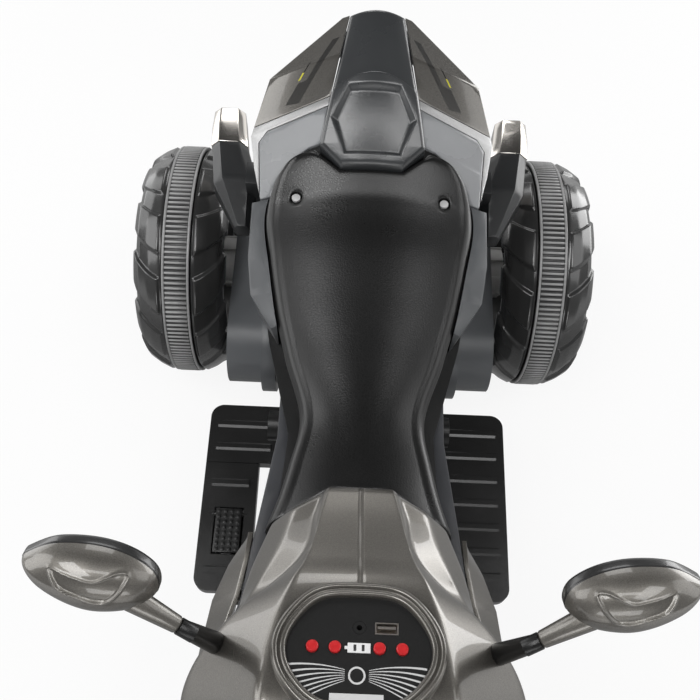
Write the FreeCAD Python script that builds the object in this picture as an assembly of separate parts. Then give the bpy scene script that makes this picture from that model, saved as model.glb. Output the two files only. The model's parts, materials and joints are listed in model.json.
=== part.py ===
import FreeCAD, Part
import math
import os

# Three-wheeled electric ride-on motorbike for a small child.
# Millimetres. +Z is up, the bike faces -Y, and the origin is on the floor midway between the axles.
# A station is a distance ahead of the rear axle, towards the front wheel.

Vec = FreeCAD.Vector

# Wheels and axles
steering_reach = 288.0
rear_track = 406.0
wheel_radius = 135.0
wheel_width = 96.0
axle_radius = 6.0
running_clearance = 0.05
seating_clearance = 0.2
seam_gap = 0.6
overrun = 5.0

band_width = 30.0
band_thickness = 8.0
band_border = 3.0
band_border_drop = 0.5
band_rib_count = 100
band_rib_depth = 1.6
tyre_lip = 2.5
tyre_crown_drop = 3.5
tyre_shoulder_drop = 23.0
tyre_bead_inset = 7.0
tyre_bead_rise = 14.0
lug_count = 12
lug_height = 3.0
lug_sink = 1.0
lug_span_shares = (0.05, 0.95)
lug_edge_shares = (0.0, 0.16, 0.46)
lug_width_share = 0.6

tyre_depth = 49.0
rim_wall = 8.0
rim_half_width = 36.0
hub_radius = 24.0
spoke_count = 6
spoke_thickness = 26.0
spoke_root_half = 13.0
spoke_tip_half = 8.0
drive_hub_radius = 29.0
drive_hub_rib = 2.0
drive_hub_rib_count = 8
drive_hub_gap = 1.0
nut_radius = 11.0
nut_thickness = 8.0
nut_gap = 0.6

# Gearboxes and motors
gearbox_inner_x = 94.0
gearbox_step_x = 110.0
gearbox_outer_x = 149.0
gearbox_radius = 48.0
gearbox_flange = 10.0
motor_station = 107.0
motor_radius = 18.0
motor_length = 55.0
motor_cap_length = 8.0
motor_cap_radius = 9.0

# Exhausts above the rear wheels' inner shoulders
tyre_gap = 16.0
exhaust_height = 46.0
exhaust_hanger = 12.0
exhaust_half_width = 23.0
exhaust_x = 146.0
exhaust_front_station = 70.0
exhaust_joint_station = -25.0
exhaust_rear_station = -72.0
exhaust_mouth_depth = 26.0
exhaust_mouth_share = 0.72
exhaust_chamfer_share = 0.45
exhaust_hanger_size = 26.0
# rows of run, sideways shift, half width and height
exhaust_body_shares = ((0.0, -0.87, 0.30, 0.42), (0.52, -0.45, 1.0, 0.96), (1.0, -0.02, 0.80, 0.98))
exhaust_tip_shares = ((0.0, 0.0, 0.84, 1.0), (0.5, 0.1, 0.80, 0.96), (1.0, 0.16, 0.72, 0.86))

# Chassis clamshell
deck_thickness = 6.0
chassis_drop = 35.0
chassis_half_width = 60.0
chassis_wall = 4.0
chassis_rear_station = -40.0
chassis_reach = 38.0
neck_half_width = 24.0
# rows of station and height
chassis_shares = ((0.0, 1.0), (0.02, 0.66), (0.12, 0.30), (0.12, 0.04), (0.36, 0.0), (0.90, 0.0),
                  (1.0, 0.30), (1.0, 1.0))
relief_thickness = 5.0
relief_shares = ((0.42, 0.80), (0.46, 0.34), (0.88, 0.30), (0.95, 0.46), (0.92, 0.80))
fin_count = 5
fin_thickness = 6.0
fin_span_shares = (0.64, 0.88)
fin_rise_shares = (0.36, 0.74)
head_tube_wall = 9.0
boss_reach = 53.0
boss_drop = 120.0
boss_radius = 15.0
boss_length = 30.0
tail_arm_half_width = 22.0
deck_half_width = 104.0
deck_shares = ((-0.07, 0.55), (0.06, 0.95), (0.25, 1.0), (0.5, 0.82), (0.7, 0.6), (0.92, 0.66), (1.0, 0.66))

# Battery and loudspeaker
battery_length = 151.0
battery_width = 94.0
battery_height = 65.0
battery_setback = 192.0
terminal_radius = 5.0
terminal_height = 6.0
speaker_reach = 10.0
speaker_radius = 26.0
speaker_height = 20.0
speaker_magnet_share = 0.55

# Seat
seat_rear_station = 61.0
seat_length = 331.0
seat_half_width = 93.0
seat_rise = 96.0
seat_draft = 4.0
seat_edge = 11.0
nose_setback = 26.0
nose_half_width = 24.5
seat_corner_half_width = 74.0
screw_station = 102.0
screw_x = 66.0
screw_head_radius = 3.8
screw_head_height = 3.0
screw_shank_radius = 2.0
screw_well_radius = 5.4
screw_well_height = 63.0
# rows of station, half width, crown and edge height, each as a share
seat_shares = (
    (0.000, 0.60, 0.98, 0.86), (0.016, 0.74, 0.98, 0.85), (0.052, 0.88, 0.95, 0.79),
    (0.139, 1.00, 0.82, 0.67), (0.275, 0.95, 0.68, 0.54), (0.414, 0.86, 0.59, 0.46),
    (0.547, 0.735, 0.53, 0.40), (0.731, 0.56, 0.50, 0.37), (0.837, 0.63, 0.52, 0.37),
    (0.921, 0.70, 0.57, 0.38), (1.000, 0.795, 0.62, 0.37))

# Tank
tank_length = 176.0
tank_half_width = 124.0
tank_rise = 156.0
tank_wall = 3.0
# rows of station, then top height and (x, height) of strip edge, wing ridge, step, lobe, flank and hem
tank_shares = (
    (0.00, 0.43, (0.18, 0.42), (0.20, 0.405), (0.22, 0.37), (0.36, 0.32), (0.48, 0.235), (0.51, 0.01)),
    (0.16, 0.54, (0.23, 0.525), (0.25, 0.505), (0.275, 0.455), (0.42, 0.40), (0.545, 0.27), (0.585, 0.01)),
    (0.38, 0.72, (0.295, 0.695), (0.32, 0.67), (0.35, 0.595), (0.52, 0.50), (0.645, 0.345), (0.69, -0.015)),
    (0.475, 0.80, (0.36, 0.765), (0.47, 0.64), (0.50, 0.55), (0.60, 0.475), (0.68, 0.345), (0.715, -0.02)),
    (0.565, 0.84, (0.405, 0.805), (0.65, 0.605), (0.665, 0.515), (0.69, 0.45), (0.71, 0.34), (0.74, -0.03)),
    (0.67, 0.875, (0.445, 0.835), (0.80, 0.565), (0.80, 0.47), (0.785, 0.41), (0.775, 0.32), (0.79, -0.035)),
    (0.79, 0.91, (0.48, 0.87), (0.915, 0.50), (0.915, 0.42), (0.89, 0.36), (0.865, 0.28), (0.85, -0.035)),
    (0.91, 0.945, (0.50, 0.90), (0.965, 0.425), (0.96, 0.35), (0.94, 0.30), (0.91, 0.23), (0.89, -0.035)),
    (1.00, 0.97, (0.48, 0.905), (0.95, 0.35), (0.945, 0.285), (0.93, 0.245), (0.91, 0.19), (0.90, -0.035)))

# Dash
dash_reach = 103.0
dash_height_share = 0.90
dash_tilt = 16.0
dash_half_width = 55.0
dash_rear = 44.0
dash_front = 41.0
dash_corner = 28.0
dash_flat_share = 0.56
dash_side_share = 0.28
dash_ring_proud = 2.5
dash_ring_depth = 14.0
dash_ring_width = 8.0
ring_bead_width = 3.0
ring_groove_depth = 2.0
panel_sink = 2.0
panel_thickness = 3.0
button_radius = 3.9
button_gap = 0.3
button_proud = 2.0
button_travel = 1.5
button_depth = 5.5
button_place_shares = (-0.536, -0.276, 0.235, 0.496)
button_row = 2.0
gauge_width = 14.4
gauge_length = 6.4
gauge_proud = 0.3
gauge_depth = 1.8
gauge_nib_share = 0.3
usb_width = 15.0
usb_length = 8.0
usb_wall = 0.8
usb_tongue = 1.8
usb_x = 17.5
socket_row = 15.5
socket_depth = 14.0
aux_radius = 1.8
aux_barrel = 4.2
aux_x = 0.0
control_box_wall = 2.5
control_box_depth = 22.0
control_box_half_width = 37.0
control_box_half_length = 17.5
control_box_shift = 3.5

# Side rails, lower fairings and side panels
rail_height = 35.0
rail_thickness = 14.0
rail_gap = 0.3
# rows of station and outer half width
rail_shares = ((0.37, 0.34), (0.50, 0.26), (0.60, 0.19), (0.70, 0.19), (0.85, 0.34), (0.93, 0.42),
               (1.02, 0.495), (1.10, 0.66), (1.19, 0.80))
fairing_wall = 3.5
fairing_flare = 12.0
fairing_drop = 150.0
fairing_length = 190.0
fairing_setback = 6.0
# rows of station, top x, knee (x, drop), hem (x, drop)
fairing_shares = (
    (0.00, 0.66, (0.675, 0.10), (0.66, 0.22)), (0.12, 0.675, (0.785, 0.16), (0.755, 0.52)),
    (0.27, 0.71, (0.865, 0.18), (0.82, 0.75)), (0.47, 0.79, (0.915, 0.22), (0.85, 0.90)),
    (0.72, 0.875, (0.97, 0.30), (0.87, 1.0)), (1.00, 0.935, (0.99, 0.36), (0.90, 0.68)))
fairing_post_radius = 7.0
# rows of station and drop below the rail
fairing_post_shares = ((0.116, 0.19), (0.2, 0.31))
panel_outer_x = 107.0
panel_rear_station = 97.0
panel_length = 119.0
panel_drop = 10.0
# rows of station, inner x, outer x and top height
panel_shares = ((0.0, 0.80, 1.0, 0.60), (0.44, 0.78, 1.0, 0.52), (0.74, 0.70, 0.955, 0.47),
                (1.0, 0.68, 0.77, 0.42))

# Tail
tail_tip_station = -56.0
tail_base_station = 65.0
tail_front_station = 81.0
tail_tip_half_width = 25.0
tail_base_half_width = 46.5
tail_front_half_width = 27.0
tail_tip_height = 129.0
tail_base_height = 101.0
tail_depth = 22.0
tail_crown = 9.0
collar_rise = 3.0
collar_rear_station = 6.0
hex_station_shares = (0.222, 0.58, 0.963)
hex_half_width_shares = (0.312, 0.796, 0.505)
hex_depth = 8.0
hex_bevel = 6.0
skin_wall = 3.0
skin_half_width = 113.0
skin_height = 126.0
trim_width = 8.0
trim_rear_station = 22.0
trim_front_station = 93.0
# rows of station, inner height, outer (x, height) and hem (x, height)
skin_shares = (
    (-0.62, 1.00, (0.28, 0.975), (0.26, 0.68)), (-0.18, 0.955, (0.86, 0.67), (0.80, 0.14)),
    (0.31, 0.845, (1.00, 0.455), (0.94, 0.01)), (0.65, 0.72, (0.955, 0.41), (0.90, 0.01)),
    (1.00, 0.55, (0.885, 0.385), (0.85, 0.01)))

# Foot rests and pedal
foot_rise = 15.0
foot_thickness = 14.0
foot_wall = 3.0
foot_outer_x = 161.0
foot_inner_x = 84.0
foot_front_inner_x = 104.0
foot_gap = 30.0
foot_split_share = 0.33
foot_reach = 6.0
foot_corner = 14.0
foot_rib_pitch = 26.0
foot_rib_width = 9.0
foot_rib_height = 2.5
foot_rib_margin = 9.0
foot_arm_height = 11.0
foot_arm_length = 48.0
pedal_setback = 85.0
pedal_length = 46.0
pedal_x = 131.0
pedal_width = 27.0
pedal_gap = 2.0
pedal_thickness = 5.0
pedal_stud = 3.0
pedal_stud_rise = 1.5
pedal_rows = 8
pedal_columns = 4
pedal_pin_radius = 2.5
pedal_pin_length = 4.0
pedal_pin_inset = 5.0
switch_length = 16.0
switch_width = 12.0
switch_drop = 6.0

# Steering, fork and handlebar, measured along the steering axis from the front axle
rake = 15.0
crown_gap = 25.0
crown_height = 25.0
crown_depth = 24.0
leg_spread = 66.0
leg_radius = 15.0
leg_upper_radius = 12.5
leg_foot = 18.0
leg_slider = 80.0
stem_radius = 11.0
stem_bore = 8.5
head_gap = 5.0
head_length = 115.0
clamp_gap = 3.0
clamp_radius = 18.0
clamp_height = 44.0
bar_radius = 9.5
bar_straight = 50.0
bar_bend = 88.0
bar_rise = 8.0
bar_half_length = 200.0
grip_radius = 15.0
grip_flange = 18.0
grip_inner_x = 100.0
grip_ring = 5.0
grip_ring_count = 5
guard_gap = 7.0
guard_wall = 3.0
guard_half_width = 44.0
guard_camber = 3.5
guard_front_angle = 55.0
guard_rear_angle = 60.0
guard_boss_radius = 9.0
axle_collar_radius = 10.0
axle_collar_gap = 0.6
axle_head_radius = 10.0
axle_head_length = 7.0

# Nose cowl
cowl_setback = 34.0
cowl_length = 150.0
cowl_half_width = 92.0
cowl_height = 146.0
cowl_wall = 3.0
cowl_shares = ((0.0, 1.0, 0.0, 1.0), (0.36, 0.91, -0.01, 0.85), (0.73, 0.67, 0.02, 0.58),
               (1.0, 0.40, 0.06, 0.38))
cowl_section_shares = ((0.55, 1.0), (1.0, 0.45), (0.8, 0.0))
cowl_post_radius = 9.0
cowl_post_reach = 44.0
cowl_post_height = 60.0
lens_depth = 7.0
lens_margin_share = 0.72

# Mirrors
mirror_reach = 68.0
mirror_height_share = 1.04
mirror_length = 84.0
mirror_tall = 46.0
mirror_dome = 25.0
mirror_bezel = 5.0
mirror_wall = 2.5
mirror_lean = 36.0
mirror_sweep = 9.0
mirror_rise_angle = 8.0
stub_run_share = 0.17
stub_drop_share = 0.22
stub_depth_share = 0.3
mirror_outline_shares = ((0.0, 0.0), (0.06, 0.24), (0.25, 0.42), (0.5, 0.46), (0.78, 0.34), (0.96, 0.1),
                         (1.0, -0.04), (0.9, -0.26), (0.66, -0.45), (0.4, -0.5), (0.15, -0.36), (0.03, -0.16))
mirror_dome_shares = ((0.0, 1.0), (0.45, 0.9), (0.8, 0.66), (1.0, 0.34))
glass_thickness = 2.0
glass_gap = 0.2
stub_radius = 5.5
stub_root_radius = 8.0
stub_length = 34.0
pivot_radius = 3.0
pivot_length = 8.0
stub_dip = 25.0
stub_yaw = 24.0
stalk_radius = 5.5
stalk_base_radius = 8.0
stalk_inset = 32.0
stalk_reach = 96.0
stalk_foot_share = 0.5

# Values worked out from the sizes above
seat_front_station = seat_rear_station + seat_length
wheelbase = seat_front_station + steering_reach
nose_station = seat_front_station - nose_setback
chassis_front_station = seat_front_station + chassis_reach
battery_station = seat_front_station - battery_setback
speaker_station = seat_front_station + speaker_reach
dash_station = seat_front_station + dash_reach
fairing_rear_station = seat_front_station - fairing_setback
fairing_half_width = tank_half_width + fairing_flare
foot_front_station = seat_front_station + foot_reach
foot_rear_station = motor_station + gearbox_radius + gearbox_flange + foot_gap
foot_split_station = foot_rear_station + foot_split_share * (foot_front_station - foot_rear_station)
pedal_rear_station = foot_front_station - pedal_setback
boss_station = foot_rear_station + boss_reach
cowl_rear_station = wheelbase - cowl_setback
mirror_x = tank_half_width
mirror_station = seat_front_station + mirror_reach
stalk_foot_x = tank_half_width - stalk_inset
stalk_foot_station = seat_front_station + stalk_reach
rim_radius = wheel_radius - tyre_depth
chassis_bottom = wheel_radius - chassis_drop
rear_y = wheelbase / 2
front_y = -rear_y
axle_height = wheel_radius
wheel_x = rear_track / 2
deck_height = 2 * wheel_radius + tyre_gap + exhaust_height + exhaust_hanger + deck_thickness
deck_under = deck_height - deck_thickness
crown_low = wheel_radius + crown_gap
crown_high = crown_low + crown_height
head_low = crown_high + head_gap
head_high = head_low + head_length
clamp_low = head_high + clamp_gap
stem_top = clamp_low + clamp_height - bar_radius - overrun
foot_height = axle_height + foot_rise
button_places = [share * dash_half_width for share in button_place_shares]
hex_stations = [share * tail_front_station for share in hex_station_shares]
hex_half_widths = [share * tail_base_half_width for share in hex_half_width_shares]


def ahead(station):
    """Y of a station."""
    return rear_y - station


def at(x, station, z):
    return Vec(x, ahead(station), z)


def closed(points):
    return Part.makePolygon(list(points) + [points[0]])


def plan_prism(points, low, high):
    """Upright prism on a plan outline given as (x, station)."""
    face = Part.Face(closed([at(x, station, low) for x, station in points]))
    return face.extrude(Vec(0, 0, high - low))


def side_prism(points, left, right):
    """Prism across the bike on a side outline given as (station, z)."""
    face = Part.Face(closed([at(left, station, z) for station, z in points]))
    return face.extrude(Vec(right - left, 0, 0))


def box(left, right, rear, front, low, high):
    return plan_prism([(left, rear), (right, rear), (right, front), (left, front)], low, high)


def rod(start, end, radius):
    return Part.makeCylinder(radius, start.distanceToPoint(end), start, end - start)


def tube(start, end, radius, bore):
    reach = (end - start).normalize() * overrun
    return rod(start, end, radius).cut(rod(start - reach, end + reach, bore))


def axle_rod(radius, left, right, station, height):
    return rod(at(left, station, height), at(right, station, height), radius)


def loft(wires, ruled=True):
    return Part.makeLoft(wires, True, ruled)


def mirrored(shape):
    return shape.mirror(Vec(0, 0, 0), Vec(1, 0, 0))


def both(shape):
    return Part.makeCompound([shape, mirrored(shape)])


def moved(shape, offset):
    copy = shape.copy()
    copy.translate(offset)
    return copy


def save(node, shape):
    shape.exportStep("parts/" + node + ".step")


def spun(profile):
    """Solid of revolution about the X axis from (x, radius) points."""
    return Part.Face(closed([Vec(x, 0, radius) for x, radius in profile])).revolve(
        Vec(0, 0, 0), Vec(1, 0, 0), 360)


def circle_pattern(shape, count):
    copies = []
    for index in range(count):
        copy = shape.copy()
        copy.rotate(Vec(0, 0, 0), Vec(1, 0, 0), 360.0 * index / count)
        copies.append(copy)
    return copies


def polar(radius, degrees, x):
    angle = math.radians(degrees)
    return Vec(x, radius * math.sin(angle), radius * math.cos(angle))


# Wheels

def tyre():
    """Blow-moulded tyre with a groove for the tread band and slanted pads on both shoulders."""
    half = wheel_width / 2
    crown = wheel_radius - tyre_crown_drop
    shoulder = wheel_radius - tyre_shoulder_drop
    seat = wheel_radius - band_thickness - seating_clearance
    groove = band_width / 2 + seating_clearance
    right = [(groove, seat), (groove, crown), (groove + tyre_lip, crown), (half, shoulder),
             (half, rim_radius + tyre_bead_rise), (half - tyre_bead_inset, rim_radius)]
    left = [(-x, radius) for x, radius in reversed(right)]
    body = spun(right + left)
    slope = Vec(half - groove - tyre_lip, 0, shoulder - crown)
    normal = Vec(crown - shoulder, 0, half - groove - tyre_lip).normalize()
    start = Vec(groove + tyre_lip, 0, crown)
    near = start + slope * lug_span_shares[0]
    far = start + slope * lug_span_shares[1]
    foot = normal * lug_sink
    top = normal * lug_height
    strip = Part.Face(closed([near - foot, far - foot, far + top, near + top]))
    pitch = 360.0 / lug_count
    ring = strip.revolve(Vec(0, 0, 0), Vec(1, 0, 0), 360)
    radii = (wheel_radius, (crown + shoulder) / 2, shoulder - lug_height)
    edge = [polar(radius, share * pitch, 0) for radius, share in zip(radii, lug_edge_shares)]
    back = [polar(radius, (share + lug_width_share) * pitch, 0)
            for radius, share in zip(radii, lug_edge_shares)]
    cutter = Part.Face(closed(edge + back[::-1])).extrude(Vec(half + overrun, 0, 0))
    pad = ring.common(cutter)
    pads = circle_pattern(pad, lug_count)
    return body.fuse(pads + [mirrored(pad) for pad in pads])


def tread_band():
    """Ribbed rubber band with a plain border on each side."""
    points = []
    for index in range(band_rib_count):
        pitch = 360.0 / band_rib_count
        points.append(polar(wheel_radius, index * pitch, 0))
        points.append(polar(wheel_radius - band_rib_depth, (index + 1 / 2) * pitch, 0))
    half = band_width / 2
    seat = wheel_radius - band_thickness
    ribs = Part.Face(closed(points)).extrude(Vec(band_width - 2 * band_border, 0, 0))
    ribs.translate(Vec(band_border - half, 0, 0))
    core = spun([(-half - overrun, 0), (half + overrun, 0), (half + overrun, seat), (-half - overrun, seat)])
    edge = wheel_radius - band_border_drop
    border = spun([(half - band_border, seat), (half, seat), (half, edge), (half - band_border, edge)])
    return ribs.cut(core).fuse([border, mirrored(border)])


def rim():
    """Spoked wheel centre with a barrel and a hub."""
    outer = rim_radius - seating_clearance
    half = rim_half_width
    barrel = spun([(-half, outer - rim_wall), (half, outer - rim_wall), (half, outer), (-half, outer)])
    hub = spun([(-half, axle_radius), (half, axle_radius), (half, hub_radius), (-half, hub_radius)])
    reach = outer - rim_wall / 2
    root = hub_radius - rim_wall / 2
    outline = [Vec(0, -spoke_root_half, root), Vec(0, spoke_root_half, root),
               Vec(0, spoke_tip_half, reach), Vec(0, -spoke_tip_half, reach)]
    spoke = Part.Face(closed(outline)).extrude(Vec(spoke_thickness, 0, 0))
    spoke.translate(Vec(-spoke_thickness / 2, 0, 0))
    whole = barrel.fuse([hub] + circle_pattern(spoke, spoke_count))
    bore = axle_radius + running_clearance
    cut = spun([(-half - overrun, 0), (half + overrun, 0), (half + overrun, bore), (-half - overrun, bore)])
    return whole.cut(cut)


def drive_hub():
    """Splined nylon hub between a gearbox and its wheel, on the +X side."""
    low = gearbox_outer_x + drive_hub_gap
    high = wheel_x - rim_half_width
    bore = axle_radius + running_clearance
    body = spun([(low, bore), (high, bore), (high, drive_hub_radius), (low, drive_hub_radius)])
    rib = Part.makeBox(high - low, 2 * drive_hub_rib, drive_hub_radius + drive_hub_rib,
                       Vec(low, -drive_hub_rib, 0))
    plug = spun([(low - overrun, 0), (high + overrun, 0), (high + overrun, hub_radius),
                 (low - overrun, hub_radius)])
    ribs = [each.cut(plug) for each in circle_pattern(rib, drive_hub_rib_count)]
    return moved(body.fuse(ribs), Vec(0, rear_y, axle_height))


def build_wheels():
    tyre_shape = tyre()
    band_shape = tread_band()
    rim_shape = rim()
    places = {"rear_left": Vec(-wheel_x, rear_y, axle_height), "rear_right": Vec(wheel_x, rear_y, axle_height),
              "front": Vec(0, front_y, axle_height)}
    for name, place in places.items():
        save(name + "_tyre", moved(tyre_shape, place))
        save(name + "_tread_band", moved(band_shape, place))
        save(name + "_rim", moved(rim_shape, place))
    hub = drive_hub()
    save("drive_hub_right", hub)
    save("drive_hub_left", mirrored(hub))


def hexagon_nut(inner, outer):
    points = [polar(nut_radius, 60.0 * index, inner) for index in range(6)]
    nut = Part.Face(closed(points)).extrude(Vec(outer - inner, 0, 0))
    bore = axle_radius + running_clearance
    hole = Part.makeCylinder(bore, outer - inner + 2 * overrun, Vec(inner - overrun, 0, 0), Vec(1, 0, 0))
    return moved(nut.cut(hole), Vec(0, rear_y, axle_height))


def build_rear_axle():
    inner = wheel_x + rim_half_width + nut_gap
    outer = inner + nut_thickness
    save("rear_axle", axle_rod(axle_radius, -outer, outer, 0, axle_height))
    save("axle_nuts", both(hexagon_nut(inner, outer)))


# Drive

def slot_prism(radius, left, right):
    """Rounded housing outline round the axle and the motor shaft."""
    top = Vec(left, 0, radius)
    shift = Vec(0, -motor_station, 0)
    down = Vec(0, 0, -2 * radius)
    low = top + down
    edges = [Part.LineSegment(top, top + shift).toShape(),
             Part.Arc(top + shift, Vec(left, -motor_station - radius, 0), low + shift).toShape(),
             Part.LineSegment(low + shift, low).toShape(),
             Part.Arc(low, Vec(left, radius, 0), top).toShape()]
    prism = Part.Face(Part.Wire(edges)).extrude(Vec(right - left, 0, 0))
    return moved(prism, Vec(0, rear_y, axle_height))


def gearbox():
    """Two-part reduction casing on the +X side: a wide flange and the outer cover."""
    flange = slot_prism(gearbox_radius + gearbox_flange, gearbox_inner_x, gearbox_step_x)
    cover = slot_prism(gearbox_radius, gearbox_step_x, gearbox_outer_x)
    bore = axle_rod(axle_radius + running_clearance, gearbox_inner_x - overrun, gearbox_outer_x + overrun,
                    0, axle_height)
    return flange.fuse(cover).cut(bore)


def motor():
    end = gearbox_inner_x
    start = end - motor_length
    can = axle_rod(motor_radius, start, end, motor_station, axle_height)
    cap = axle_rod(motor_cap_radius, start - motor_cap_length, start, motor_station, axle_height)
    return can.fuse(cap)


def build_drive():
    save("gearboxes", both(gearbox()))
    save("drive_motors", both(motor()))


# Chassis

def axis_point(distance, x=0.0, forward=0.0):
    """Point on the steering axis, with an offset across and one square to it towards the front."""
    slope = math.radians(rake)
    y = front_y + distance * math.sin(slope) - forward * math.cos(slope)
    z = axle_height + distance * math.cos(slope) + forward * math.sin(slope)
    return Vec(x, y, z)


def tail_under(station):
    """Height of the tail spine's flat underside."""
    run = (station - tail_tip_station) / (tail_base_station - tail_tip_station)
    return deck_height + tail_tip_height + run * (tail_base_height - tail_tip_height) - tail_depth


def deck_plate():
    points = [(share * deck_half_width, run * chassis_front_station) for run, share in deck_shares]
    outline = points + [(-x, station) for x, station in reversed(points)]
    return plan_prism(outline, deck_under, deck_height)


def neck_outline():
    """Side outline from the main box up to the steering head."""
    points = [axis_point(head_high), axis_point(head_low)]
    top, low = [(rear_y - point.y, point.z) for point in points]
    root = chassis_front_station - neck_half_width
    return [(root, deck_under), (root, deck_under - boss_drop), low, top]


def chassis_point(run, rise):
    station = chassis_rear_station + run * (chassis_front_station - chassis_rear_station)
    return station, chassis_bottom + rise * (deck_under - chassis_bottom)


def chassis_outline(inset):
    """Side outline of the main box, shrunk towards its middle by an inset except at the deck."""
    middle = (chassis_rear_station + chassis_front_station) / 2
    points = []
    for run, rise in chassis_shares:
        station, height = chassis_point(run, rise)
        station += inset if station < middle else -inset
        points.append((station, min(height + inset, deck_under)))
    return points


def engine_relief():
    """Raised engine-like cover with level fins, on both sides."""
    half = chassis_half_width + relief_thickness
    cover = side_prism([chassis_point(run, rise) for run, rise in relief_shares], -half, half)
    fins = []
    for index in range(fin_count):
        rise = fin_rise_shares[0] + (fin_rise_shares[1] - fin_rise_shares[0]) * index / (fin_count - 1)
        rear, height = chassis_point(fin_span_shares[0], rise)
        front, height = chassis_point(fin_span_shares[1], rise)
        fins.append(box(-half - relief_thickness, half + relief_thickness, rear, front,
                        height - fin_thickness / 2, height + fin_thickness / 2))
    return [cover] + fins


def chassis():
    """Hollow main box with gearbox pads, deck, tail arm, neck and steering head."""
    rear = chassis_rear_station
    half = chassis_half_width
    shell = side_prism(chassis_outline(0), -half, half)
    hollow = side_prism(chassis_outline(chassis_wall), chassis_wall - half, half - chassis_wall)
    pads = slot_prism(gearbox_radius, -gearbox_inner_x, gearbox_inner_x)
    boss_height = deck_height - boss_drop
    bosses = axle_rod(boss_radius, -half - boss_length, half + boss_length, boss_station, boss_height)
    arm = side_prism([(rear, deck_under), (rear, tail_under(rear)),
                      (hex_stations[2], tail_under(hex_stations[2])), (hex_stations[2], deck_under)],
                     -tail_arm_half_width, tail_arm_half_width)
    neck = side_prism(neck_outline(), -neck_half_width, neck_half_width)
    head = rod(axis_point(head_low), axis_point(head_high), stem_radius + head_tube_wall)
    skin = shell.fuse([pads, bosses] + engine_relief()).cut(hollow)
    whole = skin.fuse([deck_plate(), arm, neck.cut(hollow), head])
    stem_hole = rod(axis_point(head_low - overrun), axis_point(head_high + overrun),
                    stem_radius + running_clearance)
    reach = gearbox_inner_x + overrun
    axle_hole = axle_rod(axle_radius + running_clearance, -reach, reach, 0, axle_height)
    motor_hole = axle_rod(motor_radius + seating_clearance, -reach, reach, motor_station, axle_height)
    return whole.cut([stem_hole, axle_hole, motor_hole])


def build_chassis():
    whole = chassis()
    reach = wheelbase
    right_side = Part.makeBox(reach, 2 * reach, 2 * reach, Vec(0, -reach, -reach))
    right = whole.common(right_side)
    save("chassis_right", right)
    save("chassis_left", whole.cut(right_side))


def build_electrics():
    floor = chassis_bottom + chassis_wall
    half = battery_width / 2
    body = box(-half, half, battery_station, battery_station + battery_length, floor, floor + battery_height)
    top = floor + battery_height
    posts = [rod(at(x, battery_station + terminal_radius * 3, top),
                 at(x, battery_station + terminal_radius * 3, top + terminal_height), terminal_radius)
             for x in (-half / 2, half / 2)]
    save("battery", body.fuse(posts))
    base = at(0, speaker_station, deck_height)
    lift = Vec(0, 0, speaker_height)
    magnet = speaker_radius * speaker_magnet_share
    cone = Part.makeCone(magnet, speaker_radius, speaker_height / 2, base + lift / 2, Vec(0, 0, 1))
    save("loudspeaker", rod(base, base + lift / 2, magnet).fuse(cone))


# Seat

def nose_line(gap):
    """Plan line where the seat wraps round the tank, moved ahead by a gap."""
    slope = (seat_front_station - nose_station) / (seat_corner_half_width - nose_half_width)
    far = tank_half_width + overrun
    corner = nose_station + (far - nose_half_width) * slope
    return [(-far, corner + gap), (-nose_half_width, nose_station + gap),
            (nose_half_width, nose_station + gap), (far, corner + gap)]


def ahead_of_nose(gap):
    far = tank_half_width + overrun
    outline = nose_line(gap) + [(far, wheelbase), (-far, wheelbase)]
    return plan_prism(outline, chassis_bottom, deck_height + 2 * tank_rise)


def behind_nose(gap):
    far = tank_half_width + overrun
    outline = nose_line(gap) + [(far, -wheelbase), (-far, -wheelbase)]
    return plan_prism(outline, chassis_bottom, deck_height + 2 * tank_rise)


def seat_section(row):
    run, width, crown, edge = row
    station = seat_rear_station + run * seat_length
    half = width * seat_half_width
    top = deck_height + crown * seat_rise
    side = deck_height + edge * seat_rise
    turn = seat_edge * (1 - math.sqrt(1 / 2))
    low_left = at(seat_draft - half, station, deck_height)
    low_right = at(half - seat_draft, station, deck_height)
    side_right = at(half, station, side - seat_edge)
    side_left = at(-half, station, side - seat_edge)
    top_right = at(half - seat_edge, station, side)
    top_left = at(seat_edge - half, station, side)
    bend_right = at(half - turn, station, side - turn)
    bend_left = at(turn - half, station, side - turn)
    edges = [Part.LineSegment(low_left, low_right).toShape(),
             Part.LineSegment(low_right, side_right).toShape(),
             Part.Arc(side_right, bend_right, top_right).toShape(),
             Part.Arc(top_right, at(0, station, top), top_left).toShape(),
             Part.Arc(top_left, bend_left, side_left).toShape(),
             Part.LineSegment(side_left, low_left).toShape()]
    return Part.Wire(edges)


def seat_envelope(gap):
    """Upright block on the seat's plan, grown by a gap."""
    wires = []
    for run, width, crown, edge in seat_shares:
        station = seat_rear_station + run * seat_length
        if run == 0:
            station -= gap
        half = width * seat_half_width + gap
        low = deck_height - overrun
        high = deck_height + 2 * seat_rise
        wires.append(closed([at(-half, station, low), at(half, station, low), at(half, station, high),
                             at(-half, station, high)]))
    return loft(wires, False)


def tail_plan(gap):
    """Plan outline of the tail spine, grown by a gap."""
    tip = tail_tip_half_width + gap
    base = tail_base_half_width + gap
    front = tail_front_half_width + gap
    right = [(tip, tail_tip_station - gap), (base, tail_base_station + gap), (front, tail_front_station + gap)]
    return right + [(-x, station) for x, station in reversed(right)]


def screw_places():
    return [(x, screw_station) for x in (-screw_x, screw_x)]


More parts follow.
